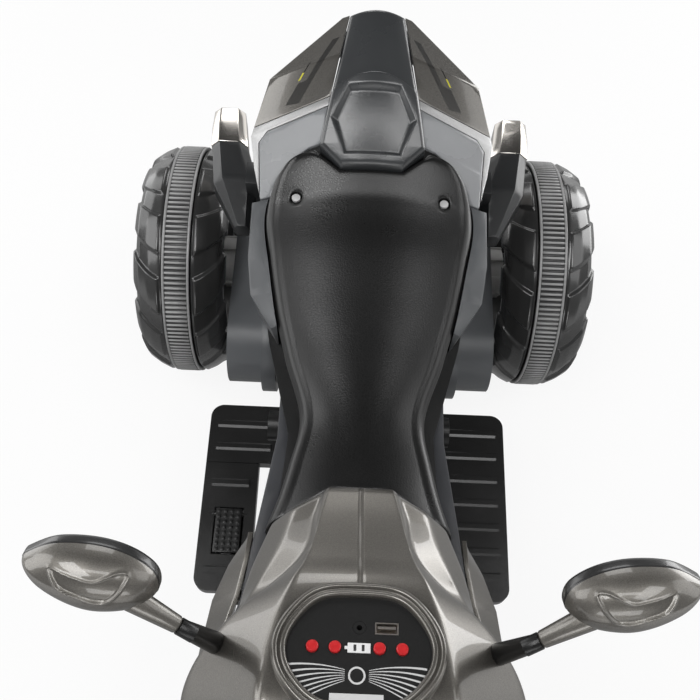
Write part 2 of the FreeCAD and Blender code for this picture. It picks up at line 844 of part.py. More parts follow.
def build_seat():
    body = loft([seat_section(row) for row in seat_shares], False)
    notch = plan_prism(tail_plan(seam_gap), chassis_bottom, deck_height + 2 * seat_rise)
    body = body.cut([notch, ahead_of_nose(0)])
    well = deck_height + screw_well_height
    screws = []
    for x, station in screw_places():
        foot = at(x, station, deck_height + seating_clearance)
        shoulder = at(x, station, well)
        mouth = at(x, station, deck_height + 2 * seat_rise)
        body = body.cut(rod(shoulder, mouth, screw_well_radius))
        base = at(x, station, deck_height - overrun)
        body = body.cut(rod(base, mouth, screw_shank_radius + running_clearance))
        head = rod(shoulder, shoulder + Vec(0, 0, screw_head_height), screw_head_radius)
        screws.append(rod(foot, shoulder, screw_shank_radius).fuse(head))
    save("seat", body)
    save("seat_screws", Part.makeCompound(screws))


# Tank

def tank_section(row, inset, grow):
    """Cross-section of the tank moved inwards by an inset, and ahead or back by grow."""
    run, top = row[0], row[1]
    station = nose_station - overrun + run * (tank_length + overrun) + grow
    points = [(x * tank_half_width - inset, deck_height + z * tank_rise - inset) for x, z in row[2:]]
    if inset:
        points[-1] = (points[-1][0], points[-1][1] - overrun)
    right = [at(x, station, z) for x, z in points]
    left = [at(-x, station, z) for x, z in reversed(points)]
    crest = at(0, station, deck_height + top * tank_rise - inset)
    return closed([crest] + right + left)


def tank_outer():
    return loft([tank_section(row, 0, 0) for row in tank_shares], False)


def tank_inner():
    """Hollow of the tank, a wall inside its skin and its front end."""
    wires = [tank_section(row, tank_wall, 0) for row in tank_shares[:-1]]
    wires.append(tank_section(tank_shares[-1], tank_wall, -tank_wall))
    return loft(wires, False)


def neck_room(gap):
    """Room for the neck through the tank's front wall."""
    half = neck_half_width + gap
    room = side_prism(neck_outline(), -half, half)
    return room.fuse(moved(room, Vec(0, 0, gap)))


def dash_frame(shape):
    """Move a shape from the dash's own plane to its place on the tank."""
    shape.rotate(Vec(0, 0, 0), Vec(1, 0, 0), -dash_tilt)
    shape.translate(at(0, dash_station, deck_height + dash_height_share * tank_rise))
    return shape


def dash_plate(inset, low, high):
    """Rounded eight-sided plate in the dash plane; y points to the rider."""
    half = dash_half_width - inset
    rear = dash_rear - inset
    front = dash_front - inset
    flat = half * dash_flat_share
    right = [(flat, rear), (half, rear * dash_side_share), (half, -front * dash_side_share), (flat, -front)]
    outline = right + [(-x, y) for x, y in reversed(right)]
    prism = Part.Face(closed([Vec(x, y, low) for x, y in outline])).extrude(Vec(0, 0, high - low))
    upright = [edge for edge in prism.Edges if abs(edge.tangentAt(edge.FirstParameter).z) > 1 / 2]
    return prism.makeFillet(min(dash_corner - inset, half / 2), upright)


def build_tank():
    hollow = tank_inner().cut(behind_nose(seam_gap + tank_wall))
    opening = dash_frame(dash_plate(-seating_clearance, -tank_rise / 2, tank_rise / 2))
    shell = tank_outer().cut([behind_nose(seam_gap), hollow, opening, neck_room(seam_gap)])
    reach = wheelbase
    right_side = Part.makeBox(reach, 2 * reach, 2 * reach, Vec(0, -reach, -reach))
    save("tank_right", shell.common(right_side))
    save("tank_left", shell.cut(right_side))


# Dash

def dash_rod(x, y, low, high, radius):
    return Part.makeCylinder(radius, high - low, Vec(x, y, low))


def dash_box(x, y, width, length, low, high):
    return Part.makeBox(width, length, high - low, Vec(x - width / 2, y - length / 2, low))


def gauge_shape(gap, low, high):
    body = dash_box(0, button_row, gauge_width + 2 * gap, gauge_length + 2 * gap, low, high)
    nib = gauge_length * gauge_nib_share
    stub = dash_box(-gauge_width / 2 - nib / 2, button_row, nib + 2 * gap, nib + 2 * gap, low, high)
    return body.fuse(stub).removeSplitter()


def build_dash():
    ring = dash_plate(0, -dash_ring_depth, dash_ring_proud)
    ring = ring.cut(dash_plate(dash_ring_width, -dash_ring_depth - overrun, dash_ring_proud + overrun))
    lips = [edge for edge in ring.Edges if abs(edge.CenterOfMass.z - dash_ring_proud) < seating_clearance]
    ring = ring.makeChamfer(dash_ring_proud / 3, lips)
    groove_floor = dash_ring_proud - ring_groove_depth
    groove = dash_plate(ring_bead_width, groove_floor, dash_ring_proud + overrun)
    groove = groove.cut(dash_plate(dash_ring_width - ring_bead_width, groove_floor, dash_ring_proud + overrun))
    save("dash_ring", dash_frame(ring.cut(groove)))
    top = -panel_sink
    low = top - panel_thickness
    panel = dash_plate(dash_ring_width + seating_clearance, low, top)
    holes = [dash_rod(x, button_row, low - overrun, top + overrun, button_radius + button_gap)
             for x in button_places]
    holes.append(dash_box(usb_x, socket_row, usb_width + 2 * seating_clearance,
                          usb_length + 2 * seating_clearance, low - overrun, top + overrun))
    holes.append(dash_rod(aux_x, socket_row, low - overrun, top + overrun, aux_barrel + seating_clearance))
    holes.append(gauge_shape(seating_clearance, top - gauge_depth, top + overrun))
    save("dash_panel", dash_frame(panel.cut(holes)))
    names = ("volume_up_button", "volume_down_button", "play_button", "horn_button")
    for name, x in zip(names, button_places):
        cap = dash_rod(x, button_row, top - button_depth, top + button_proud, button_radius)
        crown = [edge for edge in cap.Edges if edge.CenterOfMass.z > top + button_proud / 2 and edge.Closed]
        save(name, dash_frame(cap.makeChamfer(button_proud / 3, crown)))
    save("gauge_window", dash_frame(gauge_shape(0, top - gauge_depth, top + gauge_proud)))
    floor = top - socket_depth
    usb = dash_box(usb_x, socket_row, usb_width, usb_length, floor, top)
    slot = dash_box(usb_x, socket_row, usb_width - 2 * usb_wall, usb_length - 2 * usb_wall,
                    floor + usb_wall, top + overrun)
    tongue = dash_box(usb_x, socket_row + usb_tongue / 2, usb_width - 4 * usb_wall, usb_tongue,
                      floor, top - usb_wall)
    barrel = dash_rod(aux_x, socket_row, floor, top, aux_barrel)
    jack = dash_rod(aux_x, socket_row, floor + usb_wall, top + overrun, aux_radius)
    sockets = Part.makeCompound([usb.cut(slot).fuse(tongue), barrel.cut(jack)])
    save("sound_sockets", dash_frame(sockets))
    base = low - control_box_depth
    tray = dash_box(0, control_box_shift, 2 * control_box_half_width, 2 * control_box_half_length, base, low)
    room = button_depth + button_travel + button_gap - panel_thickness
    cavity = dash_box(0, control_box_shift, 2 * (control_box_half_width - control_box_wall),
                      2 * (control_box_half_length - control_box_wall), low - room, low + overrun)
    pockets = [dash_box(usb_x, socket_row, usb_width + 2 * seating_clearance,
                        usb_length + 2 * seating_clearance, floor - seating_clearance, low + overrun),
               dash_rod(aux_x, socket_row, floor - seating_clearance, low + overrun,
                        aux_barrel + seating_clearance)]
    save("control_box", dash_frame(tray.cut([cavity] + pockets)))


# Side rails, lower fairings, side panels

def rail():
    wires = []
    top = deck_under - rail_gap
    for run, share in rail_shares:
        station = run * chassis_front_station
        outer = chassis_half_width + share * (tank_half_width - chassis_half_width)
        inner = max(outer - rail_thickness, chassis_half_width + rail_gap)
        low = top - rail_height
        wires.append(closed([at(inner, station, low), at(outer, station, low), at(outer, station, top),
                             at(inner, station, top)]))
    return loft(wires)


def fairing_section(row):
    run, top_x, knee, hem = row
    station = fairing_rear_station + run * fairing_length
    top_z = deck_under - rail_gap
    outer = [(top_x * fairing_half_width, top_z),
             (knee[0] * fairing_half_width, top_z - knee[1] * fairing_drop),
             (hem[0] * fairing_half_width, top_z - hem[1] * fairing_drop)]
    inner = [(x - fairing_wall, z) for x, z in reversed(outer)]
    return closed([at(x, station, z) for x, z in outer + inner])


def lower_fairing():
    """Creased side fairing with two mounting posts that reach the chassis."""
    plate = loft([fairing_section(row) for row in fairing_shares])
    posts = []
    for run, drop in fairing_post_shares:
        station = fairing_rear_station + run * fairing_length
        height = deck_under - rail_height - drop * fairing_drop
        posts.append(axle_rod(fairing_post_radius, chassis_half_width + rail_gap, fairing_half_width,
                              station, height))
    wires = []
    for row in fairing_shares:
        run, top_x, knee, hem = row
        station = fairing_rear_station + run * fairing_length
        top_z = deck_under - rail_gap
        skin = [(top_x * fairing_half_width, top_z),
                (knee[0] * fairing_half_width, top_z - knee[1] * fairing_drop),
                (hem[0] * fairing_half_width, top_z - hem[1] * fairing_drop)]
        wires.append(closed([at(0, station, skin[2][1]), at(0, station, top_z)]
                            + [at(x - fairing_wall / 2, station, z) for x, z in skin]))
    inside = loft(wires)
    return plate.fuse([post.common(inside) for post in posts])


def side_panel():
    """Angular cover beside the seat."""
    wires = []
    for run, inner, outer, top in panel_shares:
        station = panel_rear_station + run * panel_length
        high = deck_height + top * seat_rise
        near = inner * panel_outer_x
        far = outer * panel_outer_x
        wires.append(closed([at(near, station, deck_height), at(far - panel_drop / 2, station, deck_height),
                             at(far, station, high - panel_drop), at(near, station, high)]))
    return loft(wires).cut(seat_envelope(seam_gap))


def build_sides():
    save("side_rails", both(rail()))
    save("lower_fairings", both(lower_fairing()))
    save("side_panels", both(side_panel()))


# Tail

def tail_line(station, height):
    """Height along the tail spine of a line that starts at height above the deck at the tip."""
    run = (station - tail_tip_station) / (tail_base_station - tail_tip_station)
    return deck_height + height + run * (tail_base_height - tail_tip_height)


def spine_half_width(station):
    run = (station - tail_tip_station) / (tail_base_station - tail_tip_station)
    return tail_tip_half_width + run * (tail_base_half_width - tail_tip_half_width)


def spine_section(station):
    half = spine_half_width(station)
    edge = tail_line(station, tail_tip_height)
    low = edge - tail_depth
    edges = [Part.LineSegment(at(-half, station, low), at(half, station, low)).toShape(),
             Part.LineSegment(at(half, station, low), at(half, station, edge)).toShape(),
             Part.Arc(at(half, station, edge), at(0, station, edge + tail_crown),
                      at(-half, station, edge)).toShape(),
             Part.LineSegment(at(-half, station, edge), at(-half, station, low)).toShape()]
    return Part.Wire(edges)


def hexagon(grow, rise):
    """Six-sided outline on the spine, grown by a margin and raised above its edge line."""
    rear, middle, front = hex_stations
    a, b, c = hex_half_widths
    right = [(a + grow / 2, rear - grow), (b + grow, middle), (c + grow / 2, front + grow)]
    points = right + [(-x, station) for x, station in reversed(right)]
    return closed([at(x, station, tail_line(station, tail_tip_height + tail_crown) + rise)
                   for x, station in points])


def tail_centre():
    """Arched spine with a raised six-sided collar round a bevelled hollow."""
    spine = loft([spine_section(tail_tip_station), spine_section(tail_front_station)])
    spine = spine.common(plan_prism(tail_plan(0), chassis_bottom, deck_height + 2 * tail_tip_height))
    margin = min(tail_front_station - hex_stations[2], hex_bevel) - seating_clearance
    collar = loft([hexagon(margin + collar_rise, -tail_depth + tail_crown), hexagon(margin, collar_rise)])
    collar = collar.common(plan_prism(tail_plan(0), chassis_bottom, deck_height + 2 * tail_tip_height))
    hollow = loft([hexagon(-hex_bevel, collar_rise - hex_depth), hexagon(0, collar_rise + seating_clearance)])
    return spine.fuse(collar).cut(hollow)


def skin_section(row):
    run, inner_z, outer, hem = row
    station = run * trim_front_station
    inner_x = spine_half_width(station) + seam_gap
    top = [(inner_x, inner_z), (outer[0] * skin_half_width, outer[1]), (hem[0] * skin_half_width, hem[1])]
    outside = [(x, deck_height + z * skin_height) for x, z in top]
    inside = [(outside[2][0] - skin_wall, outside[2][1]),
              (outside[1][0] - skin_wall, outside[1][1] - skin_wall),
              (outside[0][0], outside[0][1] - skin_wall)]
    return closed([at(x, station, z) for x, z in outside + inside])


def tail_skin():
    """Folded skin on the +X side of the tail, from the tip to the seat."""
    skin = loft([skin_section(row) for row in skin_shares])
    spine = plan_prism(tail_plan(seam_gap), chassis_bottom, deck_height + 2 * tail_tip_height)
    return skin.cut([spine, seat_envelope(seam_gap)])


def trim_outline(grow):
    """Plan of the pale edge trim: across the top, then forward along the side."""
    wide = skin_half_width + overrun
    corner = skin_half_width - trim_width
    return [(0, trim_rear_station - grow), (wide, trim_rear_station - grow),
            (wide, trim_front_station + grow), (corner - trim_width / 2 - grow, trim_front_station + grow),
            (corner - grow, trim_rear_station + 2 * trim_width),
            (corner - trim_width, trim_rear_station + trim_width + grow),
            (0, trim_rear_station + trim_width + grow)]


def build_tail():
    save("tail_centre", tail_centre())
    skin = tail_skin()
    low = chassis_bottom
    high = deck_height + 2 * tail_tip_height
    far = skin_half_width + overrun
    fairing = skin.common(box(0, far, 2 * tail_tip_station, trim_rear_station - seam_gap, low, high))
    trim = skin.common(plan_prism(trim_outline(0), low, high))
    surround = skin.cut([box(0, far, 2 * tail_tip_station, trim_rear_station, low, high),
                         plan_prism(trim_outline(seam_gap), low, high)])
    save("tail_fairing_right", fairing)
    save("tail_fairing_left", mirrored(fairing))
    save("tail_trims", both(trim))
    save("seat_surround", both(surround))


# Exhausts

def exhaust_section(station, x, half_width, half_height):
    cut = exhaust_chamfer_share * min(half_width, half_height)
    z = 2 * wheel_radius + tyre_gap + exhaust_height / 2
    corner = [(half_width - cut, half_height), (half_width, half_height - cut)]
    right = corner + [(dx, -dz) for dx, dz in reversed(corner)]
    points = right + [(-dx, dz) for dx, dz in reversed(right)]
    return closed([at(x + dx, station, z + dz) for dx, dz in points])


def exhaust(shares, rear, front, scale):
    wires = []
    for run, shift, width, height in shares:
        station = front + run * (rear - front)
        wires.append(exhaust_section(station, exhaust_x + shift * exhaust_half_width,
                                     width * exhaust_half_width * scale, height * exhaust_height / 2 * scale))
    return loft(wires)


def build_exhausts():
    body = exhaust(exhaust_body_shares, exhaust_joint_station, exhaust_front_station, 1)
    half = exhaust_hanger_size / 2
    x = exhaust_x - exhaust_half_width
    middle = exhaust_section_middle()
    low = 2 * wheel_radius + tyre_gap + exhaust_height / 2
    hanger = box(deck_half_width - half, x, middle - half, middle + half, low, deck_under - rail_gap)
    save("exhaust_bodies", both(body.fuse(hanger)))
    tip = exhaust(exhaust_tip_shares, exhaust_rear_station, exhaust_joint_station - rail_gap, 1)
    mouth = exhaust(exhaust_tip_shares, exhaust_rear_station - overrun,
                    exhaust_rear_station + exhaust_mouth_depth, exhaust_mouth_share)
    save("exhaust_tips", both(tip.cut(mouth)))


def exhaust_section_middle():
    return (exhaust_front_station + exhaust_joint_station) / 2


# Foot rests

def foot_tray(rear, front, inner, round_rear, round_front):
    """Open-bottomed tray on the +X side with its outer corners rounded."""
    low = foot_height - foot_thickness
    plate = box(inner, foot_outer_x, rear, front, low, foot_height)
    rounded = []
    for edge in plate.Edges:
        middle = edge.CenterOfMass
        upright = abs(middle.z - (low + foot_height) / 2) < seating_clearance
        outer = middle.x > (inner + foot_outer_x) / 2
        at_rear = round_rear and abs(middle.y - ahead(rear)) < seating_clearance
        at_front = round_front and abs(middle.y - ahead(front)) < seating_clearance
        if upright and outer and (at_rear or at_front):
            rounded.append(edge)
    plate = plate.makeFillet(foot_corner, rounded)
    hollow = box(inner + foot_wall, foot_outer_x - foot_corner / 2, rear + foot_wall, front - foot_wall,
                 low - overrun, foot_height - foot_wall)
    return plate.cut(hollow)


def foot_ribs(stations, inner, outer):
    ribs = []
    for station in stations:
        half = foot_rib_width / 2
        face = [(station - half, foot_height - foot_wall / 2), (station + half, foot_height - foot_wall / 2),
                (station + half, foot_height), (station + half / 2, foot_height + foot_rib_height),
                (station - half / 2, foot_height + foot_rib_height), (station - half, foot_height)]
        ribs.append(side_prism(face, inner, outer))
    return ribs


def foot_arm(rear, inner):
    """Bracket from a tray's inner wall to the chassis side."""
    return box(chassis_half_width, inner + foot_wall, rear, rear + foot_arm_length,
               foot_height - foot_thickness, foot_height - foot_thickness + foot_arm_height)


def rib_stations(rear, front):
    count = int((front - rear - foot_rib_margin) // foot_rib_pitch)
    return [rear + foot_rib_margin + foot_rib_pitch * (index + 1 / 2) for index in range(count)]


def pedal_opening(low, high, grow):
    half = pedal_width / 2 + grow
    return box(pedal_x - half, pedal_x + half, pedal_rear_station - grow,
               pedal_rear_station + pedal_length + grow, low, high)


def switch_box(grow, low, high):
    """Block under the pedal's front end, grown by a margin in plan."""
    front = pedal_rear_station + pedal_length
    half = switch_width / 2 + grow
    return box(pedal_x - half, pedal_x + half, front - switch_length - grow, front + grow, low, high)


def pedal_pin_place():
    return pedal_rear_station + pedal_pin_inset, foot_height - pedal_pin_radius


def build_feet():
    outer = foot_outer_x - foot_rib_margin
    arm_front = foot_front_station - foot_arm_length - foot_wall
    arm_rear = foot_rear_station + foot_wall
    tray = foot_tray(foot_rear_station, foot_front_station, foot_inner_x, True, True)
    ribs = foot_ribs(rib_stations(foot_rear_station, foot_front_station), foot_inner_x + foot_rib_margin, outer)
    arms = [foot_arm(arm_rear, foot_inner_x), foot_arm(arm_front, foot_inner_x)]
    save("foot_rest_right", tray.fuse(ribs + arms))
    tray = foot_tray(foot_rear_station, foot_split_station - seam_gap, foot_inner_x, True, False)
    ribs = foot_ribs(rib_stations(foot_rear_station, foot_split_station), foot_inner_x + foot_rib_margin, outer)
    save("foot_rest_left", mirrored(tray.fuse(ribs + [foot_arm(arm_rear, foot_inner_x)])))
    tray = foot_tray(foot_split_station, foot_front_station, foot_front_inner_x, False, True)
    behind = pedal_rear_station - pedal_gap - foot_wall
    before = pedal_rear_station + pedal_length + pedal_gap + foot_wall
    stations = rib_stations(foot_split_station, behind) + rib_stations(before - foot_rib_margin, foot_front_station)
    ribs = foot_ribs(stations, foot_front_inner_x + foot_rib_margin, outer)
    low = foot_height - foot_thickness
    well = pedal_opening(low, foot_height, pedal_gap + foot_wall)
    room = pedal_opening(low + foot_wall, foot_height + overrun, pedal_gap)
    switch_room = switch_box(seating_clearance, low - overrun, foot_height)
    station, height = pedal_pin_place()
    half = pedal_width / 2 + pedal_gap
    cheeks = []
    for side in (-1, 1):
        start = pedal_x + side * half
        cheek = box(min(start, start + side * pedal_pin_length), max(start, start + side * pedal_pin_length),
                    station - 2 * pedal_pin_radius, station + 2 * pedal_pin_radius, low, foot_height)
        cheeks.append(cheek)
    pin_hole = axle_rod(pedal_pin_radius + running_clearance, pedal_x - half - pedal_pin_length,
                        pedal_x + half + pedal_pin_length, station, height)
    arm = foot_arm(arm_front, foot_front_inner_x)
    plate = tray.fuse(ribs + [arm, well] + cheeks)
    save("pedal_plate", mirrored(plate.cut([room, switch_room, pin_hole])))
    build_pedal(station, height)


def build_pedal(station, height):
    top = foot_height + foot_rib_height
    pad = pedal_opening(top - pedal_thickness, top, 0)
    studs = []
    half = pedal_stud / 2
    for row in range(pedal_rows):
        for column in range(pedal_columns):
            x = pedal_x + pedal_width * ((column + 1 / 2) / pedal_columns - 1 / 2)
            s = pedal_rear_station + pedal_length * (row + 1 / 2) / pedal_rows
            studs.append(box(x - half, x + half, s - half, s + half, top, top + pedal_stud_rise))
    reach = pedal_width / 2 + pedal_gap + pedal_pin_length - seating_clearance
    pin = axle_rod(pedal_pin_radius, pedal_x - reach, pedal_x + reach, station, height)
    save("pedal", mirrored(pad.fuse(studs + [pin])))
    low = foot_height - foot_thickness
    body = switch_box(0, low, top - pedal_thickness - switch_drop)
    flange = switch_box(foot_wall, low - foot_wall, low)
    save("pedal_switch", mirrored(body.fuse(flange)))


# Steering

def on_axis(shape):
    """Move a shape from the steering axis's own frame, upright on the front axle, to its place."""
    shape.rotate(Vec(0, 0, 0), Vec(1, 0, 0), -rake)
    shape.translate(Vec(0, front_y, axle_height))
    return shape


def crown_plate(low, high):
    radius = crown_depth / 2 + leg_upper_radius / 2
    points = [(leg_spread, radius), (-leg_spread, radius), (-leg_spread, -radius), (leg_spread, -radius)]
    middle = Part.Face(closed([Vec(x, y, low) for x, y in points])).extrude(Vec(0, 0, high - low))
    ends = [Part.makeCylinder(radius, high - low, Vec(x, 0, low)) for x in (-leg_spread, leg_spread)]
    return middle.fuse(ends).removeSplitter()


def fork():
    """Two stepped legs, a crown and the post that carries the nose cowl."""
    shape = crown_plate(crown_low, crown_high)
    parts = []
    for x in (-leg_spread, leg_spread):
        parts.append(Part.makeCylinder(leg_radius, leg_foot + leg_slider, Vec(x, 0, -leg_foot)))
        parts.append(Part.makeCylinder(leg_upper_radius, crown_high - leg_slider, Vec(x, 0, leg_slider)))
    reach = cowl_post_reach
    arm = Part.makeBox(2 * cowl_post_radius, reach, crown_height, Vec(-cowl_post_radius, -reach, crown_low))
    post = Part.makeCylinder(cowl_post_radius, cowl_post_height, Vec(0, -reach, crown_low))
    shape = shape.fuse(parts + [arm, post])
    bore = stem_radius + running_clearance
    hole = Part.makeCylinder(bore, crown_height + 2 * overrun, Vec(0, 0, crown_low - overrun))
    width = leg_spread + leg_radius + overrun
    axle_hole = Part.makeCylinder(axle_radius + running_clearance, 2 * width, Vec(-width, 0, 0), Vec(1, 0, 0))
    return on_axis(shape.cut([hole, axle_hole])).cut(cowl_block())


def bent_bar(level, grip_level):
    """Round bar with a mitred rise on each side."""
    half = [Vec(bar_straight, 0, level), Vec(bar_bend, 0, grip_level), Vec(bar_half_length, 0, grip_level)]
    path = [Vec(-point.x, 0, point.z) for point in reversed(half)] + half
    sweep = Part.BRepOffsetAPI.MakePipeShell(Part.makePolygon(path))
    sweep.setTransitionMode(1)
    sweep.add(Part.Wire(Part.makeCircle(bar_radius, path[0], Vec(1, 0, 0))))
    sweep.build()
    sweep.makeSolid()
    return sweep.shape()


def build_steering():
    save("fork", fork())
    stem = tube(Vec(0, 0, crown_low), Vec(0, 0, stem_top), stem_radius, stem_bore)
    save("steering_stem", on_axis(stem))
    clamp = Part.makeCylinder(clamp_radius, clamp_height, Vec(0, 0, clamp_low))
    level = clamp_low + clamp_height - bar_radius
    grip_level = level + bar_rise
    bar = bent_bar(level, grip_level)
    bore = Part.makeCylinder(stem_radius + running_clearance, stem_top - clamp_low + 2 * overrun,
                             Vec(0, 0, clamp_low - 2 * overrun))
    save("handlebar", on_axis(clamp.fuse(bar).cut(bore)))
    save("grips", on_axis(both(moved(grip(), Vec(0, 0, grip_level)))))


def grip():
    """Rubber grip with end flanges and rings, open at the inner end."""
    bore = bar_radius + running_clearance
    outer = bar_half_length + grip_ring
    points = [(grip_inner_x, bore), (grip_inner_x, grip_flange), (grip_inner_x + grip_ring, grip_flange)]
    start = grip_inner_x + grip_ring
    pitch = (bar_half_length - start) / grip_ring_count
    low = (grip_radius + bar_radius) / 2 + grip_ring / 4
    for index in range(grip_ring_count):
        x = start + pitch * index
        points += [(x, low), (x + pitch / 4, low), (x + pitch / 4, grip_radius), (x + pitch, grip_radius)]
    points += [(bar_half_length, grip_flange), (outer, grip_flange), (outer, 0)]
    points += [(bar_half_length + running_clearance, 0), (bar_half_length + running_clearance, bore)]
    return spun(points)


def build_front_axle():
    width = leg_spread + leg_radius + running_clearance
    parts = [Part.makeCylinder(axle_radius, 2 * width, Vec(-width, 0, 0), Vec(1, 0, 0))]
    inner = rim_half_width + axle_collar_gap
    outer = leg_spread - leg_radius - axle_collar_gap
    for side in (-1, 1):
        parts.append(rod(Vec(side * inner, 0, 0), Vec(side * outer, 0, 0), axle_collar_radius))
        parts.append(rod(Vec(side * width, 0, 0), Vec(side * (width + axle_head_length), 0, 0),
                         axle_head_radius))
    save("front_axle", on_axis(parts[0].fuse(parts[1:])))


def build_mudguard():
    low = wheel_radius + guard_gap
    half = guard_half_width
    points = [(-half, low), (0, low + guard_camber), (half, low), (half, low + guard_wall),
              (0, low + guard_camber + guard_wall), (-half, low + guard_wall)]
    face = Part.Face(closed([Vec(x, 0, radius) for x, radius in points]))
    sweep = guard_front_angle + guard_rear_angle
    shell = face.revolve(Vec(0, 0, 0), Vec(1, 0, 0), sweep)
    shell.rotate(Vec(0, 0, 0), Vec(1, 0, 0), -guard_rear_angle)
    boss = rod(Vec(0, 0, low + guard_camber + guard_wall / 2), Vec(0, 0, crown_low), guard_boss_radius)
    save("mudguard", on_axis(shell.fuse(boss)))


# Nose cowl

def cowl_section(row, inset, shift):
    run, width, low_share, high_share = row
    station = cowl_rear_station + run * cowl_length + shift
    half = width * cowl_half_width - inset
    base = deck_height - deck_thickness
    low = base + low_share * cowl_height + inset
    high = base + high_share * cowl_height - inset
    right = [(x * half, low + z * (high - low)) for x, z in cowl_section_shares]
    points = right + [(-x, z) for x, z in reversed(right)]
    return closed([at(x, station, z) for x, z in points])


def cowl_block():
    return loft([cowl_section(row, 0, 0) for row in cowl_shares])


def build_cowl():
    outer = cowl_block()
    wires = [cowl_section(cowl_shares[0], cowl_wall, -overrun)]
    wires += [cowl_section(row, cowl_wall, 0) for row in cowl_shares[:-1]]
    wires.append(cowl_section(cowl_shares[-1], cowl_wall, -cowl_wall))
    shell = outer.cut(loft(wires))
    rim_inset = cowl_half_width * cowl_shares[-1][1] * (1 - lens_margin_share)
    hole = loft([cowl_section(cowl_shares[-1], rim_inset, -lens_depth - overrun),
                 cowl_section(cowl_shares[-1], rim_inset, overrun)])
    save("nose_cowl", shell.cut(hole))
    lens_inset = rim_inset + seating_clearance
    lens = loft([cowl_section(cowl_shares[-1], lens_inset, -lens_depth),
                 cowl_section(cowl_shares[-1], lens_inset, 0)])
    dome = loft([cowl_section(cowl_shares[-1], lens_inset, 0),
                 cowl_section(cowl_shares[-1], lens_inset + cowl_wall, cowl_wall)])
    save("headlight", lens.fuse(dome))


# Mirrors, made on the +X side with local axes: u outwards, v up, w forwards

def mirror_root():
    return at(mirror_x, mirror_station, deck_height + mirror_height_share * tank_rise)


def mirror_axes():
    """Unit vectors of the mirror head: outwards, up and forwards."""
    rise = math.radians(mirror_rise_angle)
    lean = math.radians(mirror_lean)
    sweep = math.radians(mirror_sweep)
    out = Vec(math.cos(rise) * math.cos(sweep), math.sin(sweep), math.sin(rise)).normalize()
    forward = Vec(0, -math.cos(lean), math.sin(lean))
    forward = (forward - out * forward.dot(out)).normalize()
    up = forward.cross(out).normalize()
    if up.z < 0:
        up = up * -1
    return out, up, forward


def mirror_point(u, v, w):
    out, up, forward = mirror_axes()
    return mirror_root() + out * u + up * v + forward * w


def mirror_ring(scale, depth):
    """Smooth leaf outline of the mirror head at a depth."""
    points = []
    for u, v in mirror_outline_shares:
        centre = mirror_length / 2
        along = centre + (u * mirror_length - centre) * scale
        points.append(mirror_point(along, v * mirror_tall * scale, depth))
    curve = Part.BSplineCurve()
    curve.interpolate(points, True)
    return Part.Wire([curve.toShape()])


def stub_direction():
    """Inwards, a little forwards and down."""
    dip = math.radians(stub_dip)
    yaw = math.radians(stub_yaw)
    return Vec(-math.cos(dip) * math.cos(yaw), -math.cos(dip) * math.sin(yaw), -math.sin(dip))


def stub_start():
    return mirror_point(stub_run_share * mirror_length, -stub_drop_share * mirror_tall,
                        mirror_bezel + stub_depth_share * mirror_dome)


def stub_end():
    return stub_start() + stub_direction() * stub_length


def build_mirrors():
    scale = 1 - 2 * mirror_wall / mirror_tall
    dome = loft([mirror_ring(share, mirror_bezel + run * mirror_dome) for run, share in mirror_dome_shares],
                False)
    bezel = loft([mirror_ring(1, 0), mirror_ring(1, mirror_bezel)])
    end = stub_end()
    stub = Part.makeCone(stub_root_radius, stub_radius, stub_length, stub_start(), stub_direction())
    pin = rod(end - stub_direction() * overrun, end + stub_direction() * pivot_length, pivot_radius)
    shell = bezel.fuse([dome, stub, pin])
    recess = loft([mirror_ring(scale, -overrun), mirror_ring(scale, glass_thickness + glass_gap)])
    shell = shell.cut(recess)
    glass_scale = scale - 2 * glass_gap / mirror_tall
    glass = loft([mirror_ring(glass_scale, glass_gap), mirror_ring(glass_scale, glass_thickness + glass_gap)])
    save("mirror_shell_right", shell)
    save("mirror_shell_left", mirrored(shell))
    save("mirror_glass_right", glass)
    save("mirror_glass_left", mirrored(glass))
    socket_start = end + stub_direction() * seating_clearance
    socket_end = socket_start + stub_direction() * (pivot_length + 2 * seating_clearance)
    knee = (socket_start + socket_end) / 2
    foot = at(stalk_foot_x, stalk_foot_station, deck_height + stalk_foot_share * tank_rise)
    axis = foot - knee
    leg = Part.makeCone(stalk_radius, stalk_base_radius, axis.Length, knee, axis)
    socket_foot = socket_end + stub_direction() * stalk_radius / 2
    socket = rod(socket_start, socket_foot, stalk_radius + running_clearance)
    bore = rod(socket_start - stub_direction() * overrun, socket_end, pivot_radius + running_clearance)
    stub_room = rod(stub_start(), socket_start, stalk_base_radius)
    stalk = leg.fuse(socket).cut([bore, tank_outer(), stub_room])
    save("mirror_stalks", both(stalk))


def main():
    os.makedirs("parts", exist_ok=True)
    build_wheels()
    build_rear_axle()
    build_drive()
    build_chassis()
    build_electrics()
    build_seat()
    build_tank()
    build_dash()
    build_sides()
    build_tail()
    build_exhausts()
    build_feet()
    build_steering()
    build_front_axle()
    build_mudguard()
    build_cowl()
    build_mirrors()


main()
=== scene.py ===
import bmesh
import bpy
import json
import math
import numpy as np
from mathutils import Matrix, Vector


